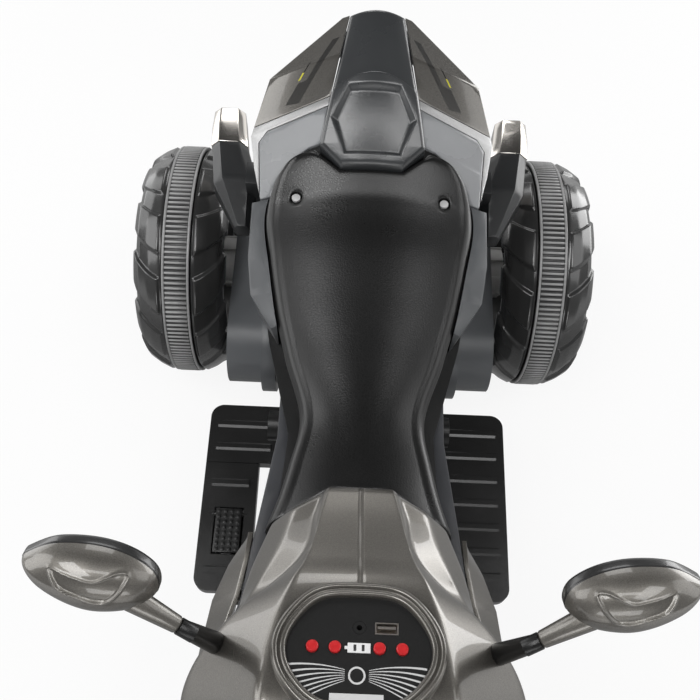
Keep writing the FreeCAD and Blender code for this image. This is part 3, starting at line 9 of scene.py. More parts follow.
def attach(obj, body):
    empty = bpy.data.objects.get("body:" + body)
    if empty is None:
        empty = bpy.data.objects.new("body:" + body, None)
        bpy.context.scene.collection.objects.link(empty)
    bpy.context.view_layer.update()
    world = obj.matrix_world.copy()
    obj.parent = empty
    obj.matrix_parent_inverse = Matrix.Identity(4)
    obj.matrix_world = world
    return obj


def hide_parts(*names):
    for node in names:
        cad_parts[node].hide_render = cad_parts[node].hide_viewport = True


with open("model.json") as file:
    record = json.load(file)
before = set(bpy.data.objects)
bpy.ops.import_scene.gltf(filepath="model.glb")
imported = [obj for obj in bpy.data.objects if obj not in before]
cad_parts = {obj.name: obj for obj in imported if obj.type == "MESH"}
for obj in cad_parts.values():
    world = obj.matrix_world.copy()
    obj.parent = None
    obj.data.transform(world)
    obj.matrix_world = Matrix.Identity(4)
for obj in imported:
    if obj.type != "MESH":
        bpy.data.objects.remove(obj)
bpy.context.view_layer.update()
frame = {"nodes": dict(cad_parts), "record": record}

# Sizes shared with the solids, in metres; a station is a distance ahead of the rear axle
rear_y = 0.340
deck = 0.350
wheel_x = 0.203
axle_z = 0.135
tank_rear, tank_length = 0.361, 0.181
tank_half, tank_rise = 0.124, 0.156
nose_station, nose_half, nose_slant = 0.366, 0.0245, 0.026 / 0.0495
seat_rear, seat_length = 0.061, 0.331
seat_half, seat_rise = 0.093, 0.096
seat_foot = deck + 0.0005
screw_x, screw_station = 0.066, 0.102
dash_tilt = math.radians(16.0)
dash_centre = np.array([0.0, rear_y - 0.495, deck + 0.90 * tank_rise])
ring_half, ring_rear, ring_front = 0.051, 0.040, 0.037
ring_flat, ring_upright = ring_half * 0.56, 0.28
head_length, head_height = 0.084, 0.046


def placed(name, data):
    """New object of the scene."""
    obj = bpy.data.objects.new(name, data)
    bpy.context.scene.collection.objects.link(obj)
    return obj


# Camera at the photograph's angle

camera_place = (-0.01667, -0.23347, 1.07789)
camera_lens, camera_sensor = 46.29, 36.0
camera_tilt, camera_roll, camera_yaw = (math.radians(angle) for angle in (64.0, -3.07, 0.71))


def make_camera():
    """Camera from its tilt, yaw and roll: the columns of its matrix are right, up and backward."""
    level = math.cos(camera_tilt)
    forward = Vector((math.sin(camera_yaw) * level, math.cos(camera_yaw) * level, -math.sin(camera_tilt)))
    right = Vector((math.cos(camera_yaw), -math.sin(camera_yaw), 0.0))
    down = forward.cross(right)
    across = right * math.cos(camera_roll) + down * math.sin(camera_roll)
    below = down * math.cos(camera_roll) - right * math.sin(camera_roll)
    data = bpy.data.cameras.new("camera")
    data.lens = camera_lens
    data.sensor_width = camera_sensor
    data.clip_start = 0.01
    camera = placed("camera", data)
    columns = Matrix((across, -below, -forward)).transposed().to_4x4()
    camera.matrix_world = Matrix.Translation(camera_place) @ columns
    bpy.context.scene.camera = camera


# Node trees

class Wire:
    """A node socket that takes part in Python expressions; each operator adds one Math node."""

    def __init__(self, board, socket):
        self.board = board
        self.socket = socket

    def maths(self, operation, *values):
        return self.board.add("ShaderNodeMath", {"operation": operation}, dict(enumerate(values)))

    def __add__(self, other):
        return self.maths("ADD", self, other)

    __radd__ = __add__

    def __sub__(self, other):
        return self.maths("SUBTRACT", self, other)

    def __rsub__(self, other):
        return self.maths("SUBTRACT", other, self)

    def __mul__(self, other):
        return self.maths("MULTIPLY", self, other)

    __rmul__ = __mul__

    def __truediv__(self, other):
        return self.maths("DIVIDE", self, other)

    def __rtruediv__(self, other):
        return self.maths("DIVIDE", other, self)

    def __gt__(self, other):
        return self.maths("GREATER_THAN", self, other)

    def __lt__(self, other):
        return self.maths("LESS_THAN", self, other)

    def __abs__(self):
        return self.maths("ABSOLUTE", self)

    def root(self):
        return self.maths("SQRT", self)

    def sine(self):
        return self.maths("SINE", self)


class Board:
    """A node tree, and one method that adds any node to it."""

    def __init__(self, tree):
        self.tree = tree

    def add(self, kind, settings, values, output=0):
        """Any node: its type, its settings, its socket values or links, and which output to return."""
        node = self.tree.nodes.new(kind)
        for name, value in settings.items():
            if name == "stops":
                ramp = node.color_ramp.elements
                while len(ramp) < len(value):
                    ramp.new(0.5)
                for element, (position, colour) in zip(ramp, value):
                    element.position = position
                    element.color = colour
            else:
                setattr(node, name, value)
        for name, value in values.items():
            if isinstance(value, Wire):
                self.tree.links.new(value.socket, node.inputs[name])
            else:
                node.inputs[name].default_value = value
        return Wire(self, node.outputs[output]) if node.outputs else None

    def between(self, factor, first, second):
        """Colour mixed from two by a factor."""
        return self.add("ShaderNodeMix", {"data_type": "RGBA"}, {0: factor, 6: first, 7: second}, 2)

    def plug(self, wire, node, socket=0):
        self.tree.links.new(wire.socket, self.tree.nodes[node].inputs[socket])


class Paint(Board):
    """One material: its constant values and the nodes that are added to it."""

    def __init__(self, name, **constants):
        self.material = bpy.data.materials.new(name)
        self.material.use_nodes = True
        super().__init__(self.material.node_tree)
        shader = self.tree.nodes["Principled BSDF"]
        for socket, value in constants.items():
            shader.inputs[socket.replace("_", " ")].default_value = value
        self.surface = Wire(self, shader.outputs[0])
        self.place = self.add("ShaderNodeTexCoord", {}, {}, "Object")

    def axes(self, names):
        return [self.add("ShaderNodeSeparateXYZ", {}, {0: self.place}, name) for name in names]

    def noise(self, scale, detail=3.0, rough=0.5):
        values = {"Vector": self.place, "Scale": scale, "Detail": detail, "Roughness": rough}
        return self.add("ShaderNodeTexNoise", {}, values)

    def ramp(self, value, low, high):
        """Share of the way from low to high, held at 0 and 1 outside them."""
        return self.add("ShaderNodeMapRange", {}, {"Value": value, 1: low, 2: high})

    def bump(self, height, strength, depth):
        values = {"Height": height, "Strength": strength, "Distance": depth}
        self.feed("Normal", self.add("ShaderNodeBump", {}, values))

    def feed(self, socket, wire):
        self.plug(wire, "Principled BSDF", socket)

    def coat(self, colour, rough):
        """Feeds the colour and the roughness, and returns the material."""
        self.feed("Base Color", colour)
        self.feed("Roughness", rough)
        return self.material

    def tone(self, factor, first, second, rough, vary):
        """Colour between two by a factor that varies the roughness too."""
        return self.coat(self.between(factor, first, second), rough + factor * vary)


plain, cool, warm = (1.0, 1.0, 1.0), (0.95, 1.0, 1.06), (1.05, 1.0, 0.92)


def grey(value, tint=plain):
    """Opaque grey, tinted channel by channel."""
    return (value * tint[0], value * tint[1], value * tint[2], 1.0)


def within(wire, low, high):
    """1 between two limits, and 0 outside them."""
    return (wire > low) * (wire < high)


def distance(first, second):
    """Root of the sum of two squares."""
    return (first * first + second * second).root()


# Finishes

flake_scale, flake_detail, flake_rough = 1300.0, 3.0, 0.7


def gunmetal(name, rough):
    """Warm dark metallic gloss: fine flake noise brightens the colour, faint swirl marks vary the gloss."""
    paint = Paint(name, Metallic=0.7, Coat_Weight=0.8, Coat_Roughness=0.03)
    flake = paint.noise(flake_scale, flake_detail, flake_rough)
    cloud = paint.noise(9.0)
    dark, light = grey(0.03, (1.07, 1.0, 0.90)), grey(0.27, (1.06, 1.0, 0.90))
    paint.bump(paint.noise(45.0, 2.0), 0.05, 0.0006)
    return paint.coat(paint.between(flake * 0.85 + cloud * 0.15, dark, light), rough + cloud * 0.1)


def socket_metal():
    """Plated socket shell on one side, and a dark jack barrel near the middle of the dash."""
    barrel_edge = 0.007
    paint = Paint("socket_plate")
    barrel = paint.axes("X")[0] < barrel_edge
    lines = paint.noise(900.0, 2.0)
    plate = paint.between(lines, (0.50, 0.42, 0.34, 1.0), grey(0.62))
    paint.feed("Metallic", 1.0 - barrel)
    return paint.coat(paint.between(barrel, plate, grey(0.012)), 0.28 + lines * 0.12)


def tail_gunmetal():
    """Gunmetal gloss with a slanted dark stripe, wider at one end, and a thin line with a yellow end."""
    slant, offset = 0.652, 0.279
    narrow_width, narrow_ends = 0.0065, (0.3425, 0.3768)
    wide_width, wide_front, wide_slope, wide_rear = 0.0145, 0.3236, 0.2, 0.343
    thin_place, thin_half, thin_ends = 0.0147, 0.0007, (0.351, 0.3593)
    accent_place, accent_half, accent_ends = 0.0152, 0.0009, (0.3451, 0.3512)
    paint = Paint("gunmetal_striped", Metallic=0.6, Coat_Weight=0.7, Coat_Roughness=0.05)
    flake = paint.noise(flake_scale, flake_detail, flake_rough)
    tone = paint.between(flake, grey(0.03, (1.06, 1.0, 0.92)), grey(0.24, warm))
    x, y = paint.axes("XY")
    across = abs(x) - offset + y * slant
    narrow = (across < narrow_width) * within(y, *narrow_ends)
    wide = (across < wide_width) * within(y, wide_front + across * wide_slope, wide_rear)
    stripe = (across > 0.0) * (narrow + wide)
    thin = (abs(across - thin_place) < thin_half) * within(y, *thin_ends)
    accent = (abs(across - accent_place) < accent_half) * within(y, *accent_ends)
    tone = paint.between(stripe + thin, tone, grey(0.022, warm))
    tone = paint.between(accent, tone, (0.75, 0.70, 0.06, 1.0))
    return paint.coat(tone, 0.2 + stripe * 0.25)


def silver():
    """Pale silver gloss with fine flake."""
    paint = Paint("silver_gloss", Metallic=0.55, Coat_Weight=0.3)
    flake = paint.noise(1200.0, flake_detail, flake_rough)
    return paint.tone(flake, grey(0.25), grey(0.60), 0.32, 0.1)


def moulded(name, value, tint, rough, grain=1400.0, depth=0.00012, **constants):
    """Moulded plastic: spark-eroded grain as fine noise bumps, with cloudy tone and gloss."""
    paint = Paint(name, **constants)
    cloud = paint.noise(14.0, 4.0, 0.55)
    paint.bump(paint.noise(grain, 2.0, 0.6), 0.5, depth)
    return paint.tone(cloud, grey(value * 0.8, tint), grey(value * 1.25, tint), rough - 0.06, 0.12)


def leather_grain():
    """Seat skin: cell pattern of rounded pebbles with creases between them, over soft tone clouds."""
    paint = Paint("leather_grain_black", Specular_IOR_Level=0.46)
    values = {"Vector": paint.place, "Scale": 420.0}
    cells = paint.add("ShaderNodeTexVoronoi", {"feature": "DISTANCE_TO_EDGE"}, values)
    cloud = paint.noise(11.0, 4.0, 0.55)
    pebble = paint.ramp(cells, 0.0, 0.22)
    paint.bump(pebble, 0.2, 0.00016)
    return paint.tone(cloud, grey(0.004), grey(0.008), 0.31 - pebble * 0.05, 0.04)


def chrome():
    """Plated plastic: bright metal with slight smears."""
    paint = Paint("chrome_plate", Metallic=1.0)
    smear = paint.noise(30.0)
    dull, bright = grey(0.68, (1.05, 1.0, 0.93)), grey(0.82, (1.05, 1.0, 0.94))
    return paint.tone(smear, dull, bright, 0.13, 0.1)


def steel(name, value, rough):
    """Zinc-plated steel with fine drawn lines along the bike."""
    paint = Paint(name, Metallic=1.0)
    stretch = paint.add("ShaderNodeMapping", {}, {"Vector": paint.place, "Scale": (900.0, 40.0, 900.0)})
    lines = paint.add("ShaderNodeTexNoise", {}, {"Vector": stretch, "Scale": 1.0, "Detail": 2.0})
    return paint.tone(lines, grey(value * 0.75), grey(value), rough - 0.05, 0.12)


def dash_face():
    """Black printed panel: a plain white ring, fans of curved lines at its sides and a blank pale label."""
    circle_x, circle_y, circle_radius, circle_line = -0.001, rear_y - 0.5105, 0.0048, 0.0006
    fan_inner, fan_outer, fan_spread, fan_waves = 0.0075, 0.0435, 0.33, 66.0
    fan_bend, fan_start, line_level = 5.0, 0.004, 0.6
    label_half, label_away, label_height = 0.0165, 0.0135, 0.0026
    paint = Paint("dash_face_black", Specular_IOR_Level=0.3)
    x, y = paint.axes("XY")
    across, away = x - circle_x, y - circle_y
    circle = abs(distance(across, away) - circle_radius) < circle_line
    reach = abs(across)
    spread = (away + reach * reach * fan_bend) / (reach + fan_start)
    lines = (spread * fan_waves).sine() > line_level
    fan = lines * (abs(spread) < fan_spread) * within(reach, fan_inner, fan_outer)
    label = (reach < label_half) * (abs(away + label_away) < label_height)
    marks = (circle + fan + label) > 0.5
    speck = paint.noise(500.0, 2.0)
    ground = paint.between(speck, grey(0.007), grey(0.011))
    return paint.coat(paint.between(marks, ground, grey(0.55)), 0.42 + speck * 0.12)


def gauge_face():
    """White battery gauge with two dark bars."""
    bar_x, bar_half, bar_y, bar_height = 0.0026, 0.0009, rear_y - 0.4935, 0.002
    paint = Paint("gauge_white")
    x, y = paint.axes("XY")
    bars = (abs(abs(x) - bar_x) < bar_half) * (abs(y - bar_y) < bar_height)
    speck = paint.noise(700.0, 2.0)
    ground = paint.between(speck, grey(0.68), grey(0.78))
    return paint.coat(paint.between(bars, ground, grey(0.04)), 0.25 + speck * 0.1)


def ribbed_rubber():
    """Black rubber whose rib tops carry a painted highlight, paler than the gaps, by the distance from the
    wheel's axle.
    """
    gap_radius, top_radius = 0.1332, 0.1346
    paint = Paint("tread_rubber", Specular_IOR_Level=0.6)
    y, z = paint.axes("YZ")
    # Painted highlight: the rib tops are coloured pale grey to stand in for light glinting on them
    top_highlight = paint.ramp(distance(abs(y) - rear_y, z - axle_z), gap_radius, top_radius)
    cloud = paint.noise(60.0, 3.0, 0.6)
    colour = paint.between(top_highlight * (0.7 + cloud * 0.6), grey(0.003), grey(0.32))
    return paint.coat(colour, 0.3 + cloud * 0.12)


def red_cap():
    """Gloss red button with faint tone specks."""
    paint = Paint("button_red", Coat_Weight=0.3)
    speck = paint.noise(400.0)
    return paint.tone(speck, (0.42, 0.012, 0.015, 1.0), (0.62, 0.022, 0.025, 1.0), 0.28, 0.1)


def lens_clear():
    """Clear lens with fine upright flutes."""
    paint = Paint("lens_clear", Transmission_Weight=0.6, IOR=1.49)
    flute = (paint.axes("X")[0] * 2400.0).sine()
    paint.bump(flute, 0.3, 0.0004)
    return paint.tone(flute, grey(0.72), grey(0.85), 0.08, 0.02)


def silvered():
    """Mirror glass with faint smudges."""
    paint = Paint("mirror_silvered", Metallic=1.0)
    smudge = paint.noise(40.0, 4.0)
    return paint.tone(smudge, grey(0.80), grey(0.90), 0.02, 0.05)


def make_finishes():
    """All finishes by name; a moulded one has a tone, a tint, a roughness, and a grain's scale and depth."""
    return {
        "gunmetal": gunmetal("gunmetal_gloss", 0.24),
        "mirror_gunmetal": gunmetal("gunmetal_mirrors", 0.36),
        "striped": tail_gunmetal(),
        "silver": silver(),
        "seat_black": leather_grain(),
        "dash_face": dash_face(),
        "sockets": socket_metal(),
        "gauge": gauge_face(),
        "red": red_cap(),
        "chrome": chrome(),
        "steel": steel("steel_zinc", 0.6, 0.32),
        "lens": lens_clear(),
        "mirror": silvered(),
        "band": ribbed_rubber(),
        "grey": moulded("grey_satin", 0.018, cool, 0.32),
        "side_grey": moulded("side_grey", 0.078, cool, 0.34),
        "gear_grey": moulded("gearbox_grey", 0.1, cool, 0.36),
        "rail_grey": moulded("rail_grey", 0.045, (0.94, 0.98, 1.1), 0.36),
        "battery_case": moulded("battery_grey", 0.05, (0.95, 1.0, 1.1), 0.5),
        "nylon": moulded("nylon_white", 0.72, (1.0, 0.99, 0.97), 0.42),
        "spine": moulded("spine_grain", 0.034, (0.94, 1.0, 1.06), 0.27, 430.0, 0.00015,
                         Specular_IOR_Level=0.8),
        "surround": moulded("surround_gloss", 0.2, (0.97, 1.0, 1.04), 0.28, 900.0, 0.00006, Coat_Weight=0.4),
        "screw": moulded("screw_bright", 0.7, plain, 0.3, 900.0, 0.00004, Metallic=0.35),
        "black": moulded("black_texture", 0.008, plain, 0.32, Specular_IOR_Level=0.4),
        "tyre_black": moulded("tyre_satin", 0.03, plain, 0.2, 900.0, 0.00005, Coat_Weight=0.5,
                              Coat_Roughness=0.12),
        "foot_black": moulded("foot_gloss_black", 0.0125, plain, 0.22, 1400.0, 0.00004,
                              Specular_IOR_Level=0.75),
        "grip": moulded("grip_rubber", 0.014, plain, 0.42, 1800.0, 0.0001),
        "rim_black": moulded("rim_satin", 0.018, plain, 0.42),
        "bezel": moulded("bezel_black", 0.02, plain, 0.24, 700.0, 0.00004, Coat_Weight=0.3),
        "bar_black": moulded("bar_black", 0.02, plain, 0.35),
        "fork_black": moulded("fork_satin", 0.025, plain, 0.35)}


# CAD nodes

own_finishes = {
    "tail_fairing_left": "striped", "tail_fairing_right": "striped", "dash_panel": "dash_face",
    "side_panels": "side_grey", "side_rails": "rail_grey", "gearboxes": "gear_grey",
    "sound_sockets": "sockets", "seat_surround": "surround", "handlebar": "bar_black",
    "grips": "grip", "tail_centre": "spine", "seat_screws": "screw",
    "foot_rest_left": "foot_black", "foot_rest_right": "foot_black", "pedal_plate": "foot_black"}
plain_edges = {
    "gauge_window", "mirror_glass_left", "mirror_glass_right", "sound_sockets", "rear_left_tread_band",
    "rear_right_tread_band", "front_tread_band", "dash_panel", "foot_rest_left", "foot_rest_right",
    "pedal_plate"}
usual_edge = 0.0012
edge_widths = {
    "tail_centre": 0.002, "nose_cowl": 0.002, "exhaust_bodies": 0.002, "chassis_left": 0.002,
    "chassis_right": 0.002, "pedal": 0.0004}
weld_distance = 0.00001
bevel_angle, sharp_angle = math.radians(34.0), math.radians(32.0)


def angle_group():
    """Node group that shades a mesh smooth except at edges sharper than a set angle."""
    group = bpy.data.node_groups.new("smooth_by_angle", "GeometryNodeTree")
    for way in ("INPUT", "OUTPUT"):
        group.interface.new_socket("Geometry", in_out=way, socket_type="NodeSocketGeometry")
    board = Board(group)
    faces = board.add("GeometryNodeSetShadeSmooth", {}, {"Geometry": board.add("NodeGroupInput", {}, {})})
    angle = board.add("GeometryNodeInputMeshEdgeAngle", {}, {})
    sharp = board.add("FunctionNodeCompare", {}, {0: angle, 1: sharp_angle})
    values = {"Geometry": faces, "Selection": sharp, "Shade Smooth": False}
    edges = board.add("GeometryNodeSetShadeSmooth", {"domain": "EDGE"}, values)
    board.add("NodeGroupOutput", {}, {"Geometry": edges})
    return group


def shade_by_angle(obj):
    obj.modifiers.new("smooth", "NODES").node_group = smooth_group


def dress_nodes():
    """Each CAD node takes its own finish or its slot's, a weld, a small edge bevel and smooth shading."""
    slots = {entry["node"]: entry["material_slot"] for entry in frame["record"]["subparts"]}
    for name, node in frame["nodes"].items():
        node.data.materials.clear()
        node.data.materials.append(finishes[own_finishes.get(name, slots[name])])
        node.modifiers.new("weld", "WELD").merge_threshold = weld_distance
        if name not in plain_edges:
            bevel = node.modifiers.new("edge", "BEVEL")
            bevel.width = edge_widths.get(name, usual_edge)
            bevel.segments = 2
            bevel.limit_method = "ANGLE"
            bevel.angle_limit = bevel_angle
        shade_by_angle(node)


# Surfaces

around, both_ways = (False, True), (True, True)


def grid_object(name, points, finish, body, *replaced, closed=(False, False), keep=None, slot=None):
    """Mesh from a grid of points: neighbours make quads, and a closed direction joins its ends."""
    rows, columns = points.shape[:2]
    index = np.arange(rows * columns).reshape(rows, columns)
    index = np.pad(index, [(0, int(way)) for way in closed], mode="wrap")
    corners = [index[:-1, :-1], index[:-1, 1:], index[1:, 1:], index[1:, :-1]]
    faces = np.stack(corners, axis=-1).reshape(-1, 4)
    flat = points.reshape(-1, 3)
    if keep is not None:
        faces = faces[keep(flat[faces].mean(axis=1))]
    mesh = bpy.data.meshes.new(name)
    mesh.from_pydata(flat.tolist(), [], faces.tolist())
    mesh.polygons.foreach_set("use_smooth", np.ones(len(faces), dtype=bool))
    mesh.materials.append(finishes[finish])
    obj = placed(name, mesh)
    tidy_mesh(mesh)
    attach(obj, body)
    if replaced:
        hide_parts(*replaced)
    return obj


def tidy_mesh(mesh):
    """Merges doubled points, drops unused ones and turns all the faces outwards together."""
    work = bmesh.new()
    work.from_mesh(mesh)
    bmesh.ops.remove_doubles(work, verts=work.verts, dist=1e-6)
    bmesh.ops.delete(work, geom=[v for v in work.verts if not v.link_faces], context="VERTS")
    work.normal_update()
    middle = sum((v.co for v in work.verts), Vector()) / len(work.verts)
    if sum(f.normal.dot(f.calc_center_median() - middle) * f.calc_area() for f in work.faces) < 0.0:
        bmesh.ops.reverse_faces(work, faces=work.faces[:])
    work.to_mesh(mesh)
    work.free()


def add_wall(obj, thickness):
    """Gives a surface a wall on its inner side."""
    wall = obj.modifiers.new("wall", "SOLIDIFY")
    wall.thickness = thickness
    wall.offset = -1.0


def smooth_curve(knots, values, at):
    """Curve through the knots with slopes from neighbouring differences (cubic Hermite)."""
    knots, values = np.asarray(knots, float), np.asarray(values, float)
    slope = np.gradient(values, knots, axis=0)
    cell = np.clip(np.searchsorted(knots, at, side="right") - 1, 0, len(knots) - 2)
    width = knots[cell + 1] - knots[cell]
    t = (at - knots[cell]) / width
    if values.ndim > 1:
        t, width = t[:, None], width[:, None]
    first = values[cell] * (1 + 2 * t) * (1 - t) ** 2 + values[cell + 1] * t * t * (3 - 2 * t)
    return first + width * (slope[cell] * t * (1 - t) ** 2 + slope[cell + 1] * t * t * (t - 1))


def even_steps(corners, count):
    """Points at even distances along a chain of corners, their distances, and the corners' distances."""
    reach = np.concatenate([[0.0], np.cumsum(np.linalg.norm(np.diff(corners, axis=0), axis=1))])
    steps = np.linspace(0.0, reach[-1], count)
    return np.stack([np.interp(steps, reach, corners[:, k]) for k in range(2)], axis=-1), steps, reach


def rounded(line, radius_steps):
    """Bell-weighted running mean along the first direction, with the end points held."""
    offsets = np.arange(-radius_steps * 2, radius_steps * 2 + 1)
    weights = np.exp(-0.5 * (offsets / (radius_steps * 0.75)) ** 2)
    weights /= weights.sum()
    ends = [(len(offsets) // 2,) * 2] + [(0, 0)] * (line.ndim - 1)
    padded = np.pad(line, ends, mode="edge")
    out = sum(w * padded[k:k + len(line)] for k, w in enumerate(weights))
    out[0], out[-1] = line[0], line[-1]
    return out


def rounded_loop(line, radius_steps, lap):
    """Running mean of a closed line, which overlaps itself by a lap at both ends meanwhile."""
    return rounded(np.concatenate([line[-lap:], line, line[:lap]]), radius_steps)[lap:-lap]


def quarter_drop(gap, radius):
    """How far a quarter round lies below the flat, at a distance from the edge."""
    return radius - np.sqrt(np.clip(radius ** 2 - np.clip(radius - gap, 0.0, radius) ** 2, 0.0, None))


def line_distance(a, b, first, second):
    """Signed distance of points (a, b) from a line, positive to the right of the way along it."""
    run, rise = second[0] - first[0], second[1] - first[1]
    return ((a - first[0]) * rise - (b - first[1]) * run) / math.hypot(run, rise)


def circle_angles(count):
    """Even angles round a circle, without the one that closes it."""
    return np.linspace(0.0, 2 * math.pi, count + 1)[:-1]


# Seat

side_turn, rear_turn, turn_run = 0.011, 0.005, 0.05
well_radius, wall_rise = 0.0078, 0.03

# Shares of the length, the half width, and the crown's and the edge's heights, from the rear
seat_rows = np.array([
    (0.000, 0.60, 1.00, 0.88), (0.016, 0.74, 0.973, 0.853), (0.052, 0.88, 0.911, 0.785),
    (0.095, 0.955, 0.836, 0.705), (0.125, 0.985, 0.786, 0.65), (0.155, 1.00, 0.757, 0.617),
    (0.275, 0.95, 0.68, 0.54), (0.414, 0.86, 0.59, 0.46), (0.547, 0.735, 0.53, 0.40),
    (0.731, 0.56, 0.50, 0.37), (0.837, 0.63, 0.52, 0.37), (0.921, 0.70, 0.57, 0.38),
    (1.000, 0.795, 0.62, 0.37)])


def nose_line(across):
    """Station of the tank's rear end: level over the crest, then slanting forwards to the sides."""
    return nose_station + np.clip(across - nose_half, 0.0, None) * nose_slant


def seat_values(station):
    """Half width, crown height and edge height at stations."""
    run = np.clip((station - seat_rear) / seat_length, 0.0, 1.0)
    table = smooth_curve(seat_rows[:, 0], seat_rows[:, 1:], run.ravel()).reshape(run.shape + (3,))
    return table[..., 0] * seat_half, deck + table[..., 1] * seat_rise, deck + table[..., 2] * seat_rise


def seat_cross(station, side):
    """Across the seat: a wall, a quarter round of 11 mm (5 mm at the rear), then a parabola to the crown."""
    wall_lean = 0.004
    half, crown, edge = seat_values(station)
    turn = rear_turn + (side_turn - rear_turn) * np.clip((station - seat_rear) / turn_run, 0.0, 1.0)
    flat = np.clip(np.abs(side), 0.0, 1.0)
    arc = np.clip(np.abs(side) - 1.0, 0.0, 1.0) * math.pi / 2
    wall = np.clip(np.abs(side) - 2.0, 0.0, 1.0)
    x = (half - turn) * flat + turn * np.sin(arc) - wall_lean * wall
    top = edge + (crown - edge) * (1.0 - flat ** 2)
    z = top - turn * (1.0 - np.cos(arc)) - (edge - turn - seat_foot) * wall
    return np.sign(side) * x, z


def seat_ends(x):
    """Stations of the seat's rear and front ends: round the tail spine's foot, and along the nose line."""
    tip_half, foot_half = 0.0276, 0.0476
    tip_station, foot_station, clearance = 0.0812, 0.0658, 0.0004
    side_gap, side_slope, corner_width, corner_depth = 0.0002, 2.0, 0.020, 0.006
    away = np.abs(x)
    slope = (tip_station - foot_station) / (foot_half - tip_half)
    notch = tip_station + clearance - np.clip(away - tip_half, 0.0, None) * slope
    shoulder = foot_station + clearance - (away - foot_half) * side_slope
    shoulder = np.maximum(seat_rear + side_gap, shoulder)
    outer = shoulder + np.clip((away - foot_half) / corner_width, 0.0, 1.0) ** 2 * corner_depth
    return np.where(away < foot_half, notch, outer), np.minimum(nose_line(away), seat_rear + seat_length)


def outside_wells(centres):
    """Faces of the seat's top that lie outside both screw wells, and all those low on its walls."""
    holes = [np.array([side * screw_x, rear_y - screw_station]) for side in (-1, 1)]
    away = [np.linalg.norm(centres[:, :2] - hole, axis=1) > well_radius for hole in holes]
    return np.logical_and(*away) | (centres[:, 2] < deck + wall_rise)


def make_seat():
    """Grid along and across; each line runs between the first stations that lie inside the two ends."""
    end_round = 0.004
    rear_search, front_search = (0.0605, 0.0850, 491), (0.3935, 0.3600, 671)
    across = np.concatenate([np.linspace(-3, -2, 6), np.linspace(-2, -1, 9)[1:], np.linspace(-1, 1, 61)[1:],
                             np.linspace(1, 2, 9)[1:], np.linspace(2, 3, 6)[1:]])
    run = np.concatenate([[0.0, 0.002, 0.005, 0.009], np.linspace(0.014, 0.986, 110),
                          [0.991, 0.995, 0.998, 1.0]])
    side, along = across[None, :], run[:, None]
    behind, ahead = (np.linspace(*search)[:, None] for search in (rear_search, front_search))
    past_rear = behind >= seat_ends(seat_cross(behind, side)[0])[0]
    past_front = ahead <= seat_ends(seat_cross(ahead, side)[0])[1]
    rear = behind[np.argmax(past_rear, axis=0)].T
    front = ahead[np.argmax(past_front, axis=0)].T
    station = rear + along * (front - rear)
    x, z = seat_cross(station, side)
    drop = quarter_drop(np.minimum(station - rear, front - station), end_round)
    points = np.stack([x, rear_y - station, np.maximum(z - drop, seat_foot)], axis=-1)
    feet = points[[0, -1]]
    feet[..., 2] = seat_foot
    grid_object("seat_skin", np.concatenate([feet[:1], points, feet[1:]]), "seat_black", "bike", "seat",
                keep=outside_wells)


def surface_height(x, station):
    """Height of the seat's top at points in plan: a parabola across it, from its edges up to the crown."""
    half, crown, edge = seat_values(station)
    flat = np.clip(np.abs(x) / (half - side_turn), 0.0, 1.0)
    return edge + (crown - edge) * (1.0 - flat ** 2)


def make_seat_wells():
    """Round wells of the two seat screws: a soft lip that follows the seat, a wall and a level floor."""
    floor = deck + 0.0628
    angle = circle_angles(48)
    radius = np.array([10.4, 9.4, 8.4, 7.0, 6.1, 5.7, 5.5, 5.4, 5.4, 2.2])[:, None] / 1000
    height = np.array([-0.5, 0.02, 0.06, 0.06, 0.0, -0.2, -0.6, -1.4, 0.0, 0.0])[:, None] / 1000
    for name, side in (("left", -1), ("right", 1)):
        x = side * screw_x + radius * np.cos(angle)
        y = rear_y - screw_station + radius * np.sin(angle)
        z = surface_height(x.ravel(), (rear_y - y).ravel()).reshape(x.shape) + height
        z[-2:] = floor
        grid_object("seat_well_" + name, np.stack([x, y, z], axis=-1), "seat_black", "bike", closed=around)


# Tail spine

spine_rear, spine_slant, spine_front = -0.056, 0.065, 0.081
hollow_rear, hollow_middle, hollow_front = 0.0165, 0.0440, 0.0735
hollow_halves = (0.024, 0.038, 0.026)


def hexagon_distance(x, station):
    """Signed distance in plan from the six-sided hollow's rim: largest of its edge distances."""
    away = np.abs(x)
    rear, middle, front = zip(hollow_halves, (hollow_rear, hollow_middle, hollow_front))
    return np.max([hollow_rear - station, station - hollow_front, line_distance(away, station, rear, middle),
                   line_distance(away, station, middle, front)], axis=0)


def spine_grid():
    """Stations from the tail's tip to the seat, and shares of the half width, both closer at the edges."""
    station = np.concatenate([[-0.056, -0.0558, -0.055, -0.0535], np.linspace(-0.052, 0.078, 150),
                              [0.0792, 0.0803, 0.0809, 0.081]])
    share = np.concatenate([[-1.0, -0.9975, -0.985, -0.96], np.linspace(-0.94, 0.94, 111),
                            [0.96, 0.985, 0.9975, 1.0]])
    return station[:, None], share[None, :]


